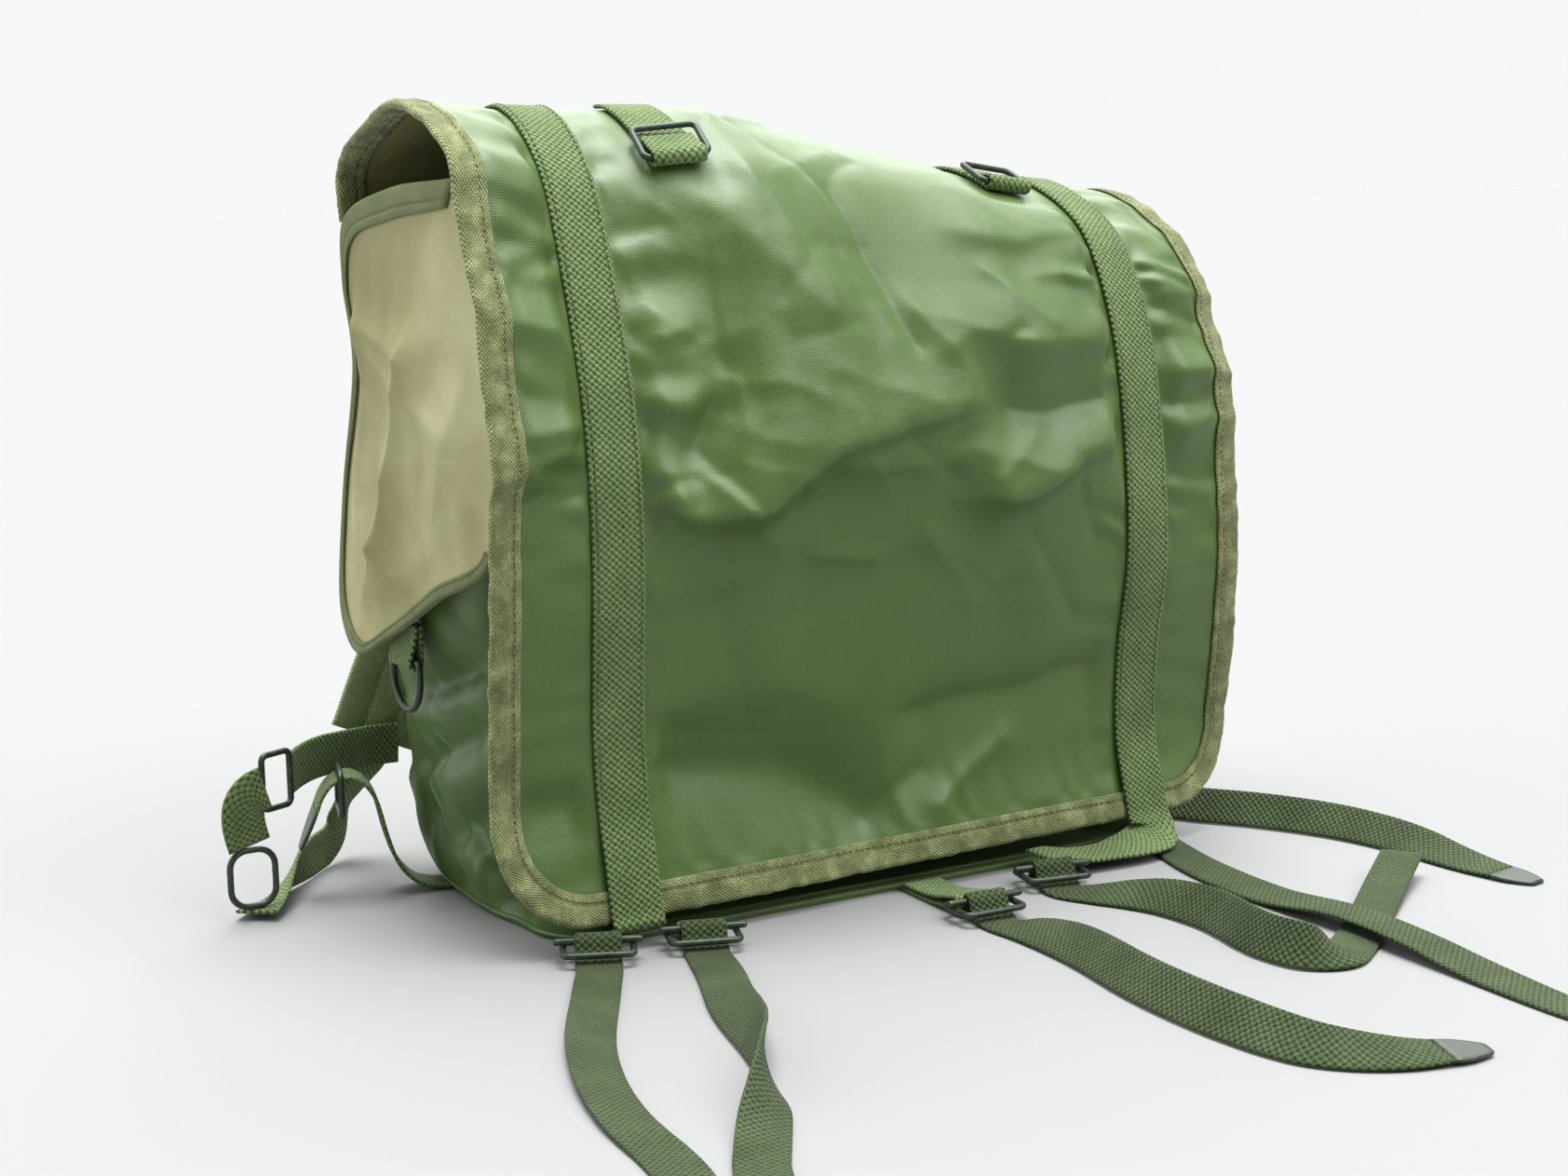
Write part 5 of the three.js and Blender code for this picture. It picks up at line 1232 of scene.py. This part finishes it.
class Nodes:
    """Nodes of a material or of the light, and short ways to add to them."""

    def __init__(self, owner):
        owner.use_nodes = True
        self.tree = owner.node_tree

    def node(self, kind, settings=None, **inputs):
        made = self.tree.nodes.new(kind)
        for key, value in (settings or {}).items():
            setattr(made, key, value)
        for key, value in inputs.items():
            self.feed(made.inputs[key.replace("_", " ")], value)
        return made

    def feed(self, socket, value):
        if isinstance(value, bpy.types.NodeSocket):
            self.tree.links.new(value, socket)
        else:
            socket.default_value = value

    def math(self, operation, *values):
        made = self.node("ShaderNodeMath", {"operation": operation})
        for socket, value in zip(made.inputs, values):
            self.feed(socket, value)
        return made.outputs[0]


class Shading(Nodes):
    """A procedural material."""

    def __init__(self, name):
        self.material = bpy.data.materials.new(name)
        super().__init__(self.material)
        self.surface = self.tree.nodes["Principled BSDF"]

    def noise(self, scale, detail):
        place = self.node("ShaderNodeTexCoord").outputs["Object"]
        made = self.node("ShaderNodeTexNoise", Vector=place, Scale=scale, Detail=detail,
                         Roughness=NOISE_ROUGHNESS)
        return made.outputs[0]

    def ramp(self, value, stops):
        made = self.node("ShaderNodeValToRGB", Fac=value)
        elements = made.color_ramp.elements
        while len(elements) < len(stops):
            elements.new(stops[-1][0])
        for element, (place, colour) in zip(elements, stops):
            element.position = place
            element.color = (*colour, 1)
        return made.outputs["Color"]

    def multiply(self, first, second):
        """Product of two colours."""
        made = self.node("ShaderNodeMix", {"data_type": "RGBA", "blend_type": "MULTIPLY"})
        for index, value in ((0, 1.0), (6, first), (7, second)):
            self.feed(made.inputs[index], value)
        return made.outputs[2]

    def bump(self, height, strength, distance):
        made = self.node("ShaderNodeBump", Height=height, Strength=strength, Distance=distance)
        return made.outputs["Normal"]

    def cloth_uv(self):
        mapped = self.node("ShaderNodeUVMap", {"uv_map": "Cloth"}).outputs["UV"]
        split = self.node("ShaderNodeSeparateXYZ", Vector=mapped)
        return split.outputs["X"], split.outputs["Y"]

    def wave(self, kind, value, pitch):
        return self.math(kind, self.math("MULTIPLY", value, 2 * math.pi / pitch))

    def finish(self, colour, roughness, normal=None, **fixed):
        self.feed(self.surface.inputs["Base Color"], colour)
        self.feed(self.surface.inputs["Roughness"], roughness)
        if normal is not None:
            self.feed(self.surface.inputs["Normal"], normal)
        for key, value in fixed.items():
            self.surface.inputs[key.replace("_", " ")].default_value = value
        return self.material


# Scale and detail of each material's noises, sizes in metres, colours by the value of a noise
COATED = {"patches": (7, 5), "stops": [(0.3, (0.054, 0.105, 0.015)), (0.7, (0.074, 0.132, 0.026))],
          "gloss": (60, 5), "gloss_share": 0.14, "roughness": 0.37, "thread": 0.0009, "thread_share": 0.13,
          "grain": (260, 4), "grain_share": 1.3, "bump": (0.22, 0.0006)}
LINING = {"patches": (11, 6), "roughness": 0.62, "grain": (900, 2), "bump": (0.15, 0.0006),
          "stops": [(0.3, (0.205, 0.193, 0.079)), (0.5, (0.28, 0.268, 0.122)), (0.7, (0.4, 0.39, 0.222))]}
THREAD = {"patches": (300, 3), "roughness": 0.7,
          "stops": [(0.35, (0.06, 0.085, 0.034)), (0.65, (0.105, 0.14, 0.06))]}
STEEL = {"worn": (320, 5), "worn_share": 0.3, "roughness": 0.25, "grain": (800, 3), "bump": (0.15, 0.0004),
         "stops": [(0.35, (0.02, 0.03, 0.022)), (0.62, (0.04, 0.052, 0.036)), (0.75, (0.1, 0.095, 0.07))]}
# Cloth of visible threads: their pitch across and along, waver, scale of patches and of fibres, colour
# of the painted shade in the gaps between threads, strength of the bump, sheen
WOVEN = {
    "webbing": {
        "pitch": (0.0035, 0.0031), "waver": 0.0013, "patch": 40, "fuzz": 1100, "gaps": 0.1, "bump": 1,
        "sheen": 0.08, "stops": [(0.3, (0.13, 0.192, 0.068)), (0.7, (0.195, 0.268, 0.106))]},
    "strap_webbing": {
        "pitch": (0.0035, 0.0031), "waver": 0.0013, "patch": 40, "fuzz": 1100, "gaps": 0.12, "bump": 1,
        "sheen": 0.03, "stops": [(0.3, (0.044, 0.066, 0.025)), (0.7, (0.07, 0.096, 0.041))]},
    "binding_tape": {
        "pitch": (0.0013, 0.0019), "waver": 0.0009, "patch": 130, "fuzz": 900, "gaps": 0.42, "bump": 1,
        "sheen": 0.2,
        "stops": [(0.3, (0.15, 0.172, 0.06)), (0.5, (0.25, 0.28, 0.105)), (0.7, (0.41, 0.44, 0.2))]},
    # Painted light: the pad's webbing is lighter than the rest of the webbing, to offset the shade the pad
    # sits in.
    "pad_webbing_painted_light": {
        "pitch": (0.0016, 0.0016), "waver": 0.0005, "patch": 60, "fuzz": 1100, "gaps": 0.4, "bump": 0.6,
        "sheen": 0.2, "stops": [(0.3, (0.235, 0.3, 0.13)), (0.7, (0.31, 0.38, 0.18))]},
    "flap_tape": {
        "pitch": (0.0012, 0.0012), "waver": 0.0005, "patch": 60, "fuzz": 900, "gaps": 0.55, "bump": 0.6,
        "sheen": 0.2, "stops": [(0.3, (0.116, 0.146, 0.042)), (0.7, (0.172, 0.205, 0.066))]},
}
# Shared by every woven cloth: noises, shares of fibres and grain in the painted light, values at which
# the painted shade is darkest and lightest, share of fibres in the bump, its distance, roughness
WEAVE = {"waver": (420, 2), "patch_detail": 6, "fuzz_detail": 3, "fibre_light": 0.6, "grain_light": 0.7,
         "dark": 0.2, "light": 0.82, "fibre_bump": 0.5, "bump": 0.0008, "roughness": 0.85}


def coated_cloth():
    make = Shading("coated_cloth")
    colour = make.ramp(make.noise(*COATED["patches"]), COATED["stops"])
    gloss = make.noise(*COATED["gloss"])
    rough = make.math("MULTIPLY_ADD", gloss, COATED["gloss_share"], COATED["roughness"])
    warp, weft = (make.wave("SINE", place, COATED["thread"]) for place in make.cloth_uv())
    threads = make.math("MULTIPLY", make.math("ADD", warp, weft), COATED["thread_share"])
    height = make.math("MULTIPLY_ADD", make.noise(*COATED["grain"]), COATED["grain_share"], threads)
    normal = make.bump(height, *COATED["bump"])
    return make.finish(colour, rough, normal, Specular_IOR_Level=0.6, Sheen_Weight=0.05,
                       Sheen_Roughness=0.35)


def lining_cloth():
    make = Shading("lining")
    colour = make.ramp(make.noise(*LINING["patches"]), LINING["stops"])
    normal = make.bump(make.noise(*LINING["grain"]), *LINING["bump"])
    return make.finish(colour, LINING["roughness"], normal, Specular_IOR_Level=0.35)


def weave_height(make, pitch, waver):
    """Staggered grains of thread: 1 on a grain, 0 in the gaps between."""
    shift = make.math("MULTIPLY_ADD", make.noise(*WEAVE["waver"]), waver, -waver / 2)
    across, along = (make.wave("COSINE", make.math("ADD", place, shift), size)
                     for place, size in zip(make.cloth_uv(), pitch))
    return make.math("MULTIPLY_ADD", make.math("MULTIPLY", across, along), 0.5, 0.5)


def woven(name):
    """Cloth of visible threads: colour by patches, painted shade in the gaps between threads, and a fuzzy
    bump.
    """
    make = Shading(name)
    look = WOVEN[name]
    grain = weave_height(make, look["pitch"], look["waver"])
    fibres = make.noise(look["fuzz"], WEAVE["fuzz_detail"])
    base = make.ramp(make.noise(look["patch"], WEAVE["patch_detail"]), look["stops"])
    light = make.math("MULTIPLY", grain, WEAVE["grain_light"])
    light = make.math("MULTIPLY_ADD", fibres, WEAVE["fibre_light"], light)
    # Painted shade: colour darkened in the gaps between grains of thread, so the grains read as lit.
    painted_gap_shade = make.ramp(light, [(WEAVE["dark"], (look["gaps"],) * 3), (WEAVE["light"], (1, 1, 1))])
    height = make.math("MULTIPLY_ADD", fibres, WEAVE["fibre_bump"], grain)
    normal = make.bump(height, look["bump"], WEAVE["bump"])
    return make.finish(make.multiply(base, painted_gap_shade), WEAVE["roughness"], normal, Specular_IOR_Level=0.2,
                       Sheen_Weight=look["sheen"], Sheen_Roughness=0.5)


def sewing_thread():
    make = Shading("thread")
    colour = make.ramp(make.noise(*THREAD["patches"]), THREAD["stops"])
    return make.finish(colour, THREAD["roughness"], Specular_IOR_Level=0.3)


def painted_steel():
    make = Shading("steel")
    worn = make.noise(*STEEL["worn"])
    colour = make.ramp(worn, STEEL["stops"])
    rough = make.math("MULTIPLY_ADD", worn, STEEL["worn_share"], STEEL["roughness"])
    normal = make.bump(make.noise(*STEEL["grain"]), *STEEL["bump"])
    return make.finish(colour, rough, normal, Metallic=0.35, Specular_IOR_Level=0.5)


def plain_ground():
    return Shading("ground").finish((*GROUND, 1), GROUND_ROUGHNESS, Specular_IOR_Level=0.0)


# Camera, light and ground


# Focal length and width of the picture in pixels, place, angles
CAMERA = {"focal": 2600.0, "wide": 1684.0, "at": (-589.5, -994.4, 321.0), "yaw": 30.51, "pitch": -9.26,
          "roll": -1.15}
GROUND_HALF = 60000


def add_camera():
    yaw, pitch, roll = (math.radians(CAMERA[key]) for key in ("yaw", "pitch", "roll"))
    look = np.array((math.sin(yaw) * math.cos(pitch), math.cos(yaw) * math.cos(pitch), math.sin(pitch)))
    level = np.array((math.cos(yaw), -math.sin(yaw), 0.0))
    high = np.cross(level, look)
    right = math.cos(roll) * level + math.sin(roll) * high
    up = -math.sin(roll) * level + math.cos(roll) * high
    data = bpy.data.cameras.new("camera")
    data.sensor_fit = "HORIZONTAL"
    data.sensor_width = 36.0
    data.lens = data.sensor_width * CAMERA["focal"] / CAMERA["wide"]
    data.clip_end = 200
    camera = bpy.data.objects.new("camera", data)
    turned = np.eye(4)
    turned[:3, 0] = right
    turned[:3, 1] = up
    turned[:3, 2] = -look
    turned[:3, 3] = np.array(CAMERA["at"]) * MM
    camera.matrix_world = Matrix(turned.tolist())
    bpy.context.scene.collection.objects.link(camera)
    bpy.context.scene.camera = camera


def add_ground():
    """Pale level surface."""
    points = [(x * GROUND_HALF, y * GROUND_HALF, 0) for x, y in ((-1, -1), (1, -1), (1, 1), (-1, 1))]
    make_piece("ground", points, [(0, 1, 2, 3)], plain_ground())


# Radiance behind the bag and in front of it, cosines between which it changes, tint
LIGHT = {"back": 0.945, "front": 0.13, "change": (-0.45, 0.6), "tint": (0.985, 1.0, 0.995)}
# Patches of light: turn to the right of the back panel's way, height from the back horizon, first and last
# cosine of the angle from the middle, radiance
PATCHES = [(30.5, 87, 0.90, 0.985, 16.0), (-30.5, 130, 0.86, 0.97, 4.8), (30.5, 42, 0.84, 0.98, 4.0),
           (-72, 22, 0.74, 0.95, 1.9)]
GROUND = (0.266, 0.266, 0.266)
GROUND_ROUGHNESS = 0.9


def add_world():
    """Pale light: bright behind and above the bag, darker in front of it."""
    world = bpy.data.worlds.new("pale light")
    make = Nodes(world)
    way = make.node("ShaderNodeTexCoord").outputs["Generated"]

    def towards(turn, height, low, high, at_low, at_high):
        """Value that changes with the angle from a direction."""
        dot = make.node("ShaderNodeVectorMath", {"operation": "DOT_PRODUCT"})
        make.feed(dot.inputs[0], way)
        make.feed(dot.inputs[1], direction_of(90 - turn, height).tolist())
        made = make.node("ShaderNodeMapRange", {"interpolation_type": "SMOOTHSTEP"},
                         Value=dot.outputs["Value"], From_Min=low, From_Max=high, To_Min=at_low,
                         To_Max=at_high)
        return made.outputs[0]

    total = towards(CAMERA["yaw"], 0.0, *LIGHT["change"], LIGHT["front"], LIGHT["back"])
    for turn, height, low, high, strength in PATCHES:
        total = make.math("ADD", total, towards(turn, height, low, high, 0.0, strength))
    background = make.tree.nodes["Background"]
    make.feed(background.inputs["Color"], (*LIGHT["tint"], 1))
    make.feed(background.inputs["Strength"], total)
    bpy.context.scene.world = world


# Steps along the routes of the left shoulder strap
SHOULDER_STEPS = {"web": 10, "link": 6, "floor_web": 10, "lower": 8}


def main():
    cloth = coated_cloth()
    lining = lining_cloth()
    thread = sewing_thread()
    steel = painted_steel()
    web = woven("webbing")
    loose = woven("strap_webbing")
    padding = woven("pad_webbing_painted_light")
    tape = woven("binding_tape")
    hem = woven("flap_tape")

    def keep(piece, node, body="bag"):
        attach(piece, body)
        if node:
            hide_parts(node)
        return piece

    def strap(node, points, widths, material):
        """Narrow webbing, with its metal end where it has one."""
        piece = strap_piece(f"{node}_webbing", points, widths, FLOOR_WEB, FLOOR_WEB_THICK, material)
        keep(piece, node)
        if node in TIPPED_STRAPS:
            keep(tip_piece(f"{node}_tip_metal", points, widths, steel), f"{node}_tip")

    def wire_frame(node, size, middle, right, ahead):
        """Wire frame about its middle."""
        outline = frame_outline(size["half"], size["length"], size["corner"])
        origin = np.array(middle, float) - ahead * size["length"] / 2
        keep(wire_piece(f"{node}_wire", outline, origin, right, ahead, WIRE_RADIUS, steel), node)

    shell, inside, welt = body_pieces(cloth, lining)
    keep(shell, "body")
    keep(inside, None)
    keep(welt, None)
    lid = keep(lid_piece(cloth), "lid")
    keep(lid_lining_piece(lining), None)
    binding = keep(lid_binding_piece(tape), "lid_binding")
    keep(lid_binding_stitches(thread), None)
    for side in ("left", "right"):
        keep(lid_strap_piece(side, web), f"lid_strap_{side}")
        for edge in (-1, 1):
            keep(lid_strap_stitches(side, edge, thread), None)
        flap = keep(flap_piece(side, lining), f"side_flap_{side}")
        edge = keep(flap_binding_piece(side, hem), f"side_flap_binding_{side}")
        keep(top_tab_piece(side, web), f"top_tab_{side}")
        keep(top_frame_piece(side, steel), f"top_frame_{side}", f"frame_{side}")
        keep(ring_tab_piece(side, web), f"ring_tab_{side}")
        keep(ring_piece(side, steel), f"d_ring_{side}", f"ring_{side}")
        pad = keep(pad_piece(side, padding), f"shoulder_pad_{side}")

    for name, place in BUCKLES.items():
        x, y, heading = place
        ahead = heading_vector(heading)
        right = np.cross(ahead, UP)
        wire_frame(f"buckle_{name}", BUCKLE, (x, y, BUCKLE["height"]), right, ahead)
        rod = bar_piece(f"buckle_bar_{name}_rod", np.array((x, y, BUCKLE_BAR_Z)), right, BUCKLE["bar_half"],
                        BUCKLE["bar_radius"], steel)
        keep(rod, f"buckle_bar_{name}")
        if name.startswith("inner"):
            keep(inner_tab_piece(name, place, web), f"buckle_tab_{name}")
        strap(f"floor_strap_{name}", *buckled_path(f"floor_strap_{name}", place), loose)
    for name in ("base_strap_right", "shoulder_lower_right"):
        strap(name, *lying_rows(STRAP_ROUTES[name], STRAP_SAMPLE), loose)

    points = sample_route(SHOULDER_WEB_ROUTE, SHOULDER_STEPS["web"], 3)
    strap("shoulder_web_left", points, np.tile(UP, (len(points), 1)), web)
    strap("shoulder_link_left", *turned_path(LINK_ROUTE, SHOULDER_STEPS["link"]), web)
    strap("shoulder_floor_web_left", *turned_path(FLOOR_LINK_ROUTE, SHOULDER_STEPS["floor_web"]), web)
    strap("shoulder_lower_left", *turned_path(LOWER_STRAP_ROUTE, SHOULDER_STEPS["lower"]), web)
    ahead = heading_vector(SHOULDER_BUCKLE["heading"])
    wire_frame("shoulder_buckle_left", SHOULDER_BUCKLE, SHOULDER_BUCKLE["at"], UP, ahead)
    for node, size in (("shoulder_ring_left", LOWER_RING), ("shoulder_adjuster_left", ADJUSTER)):
        wire_frame(node, size, size["at"], heading_vector(size["turn"]), UP)
    before, last = np.array(PAD_ROUTE[-2:], float) * np.array((-1, 1, 1))
    ahead = unit(last - before)
    middle = last + ahead * (WIRE_RADIUS + GAP + RIGHT_BUCKLE["length"] / 2)
    wire_frame("shoulder_buckle_right", RIGHT_BUCKLE, middle, np.cross(ahead, BACK), ahead)

    add_camera()
    add_world()
    add_ground()
    bpy.context.scene.view_settings.view_transform = "Standard"


main()
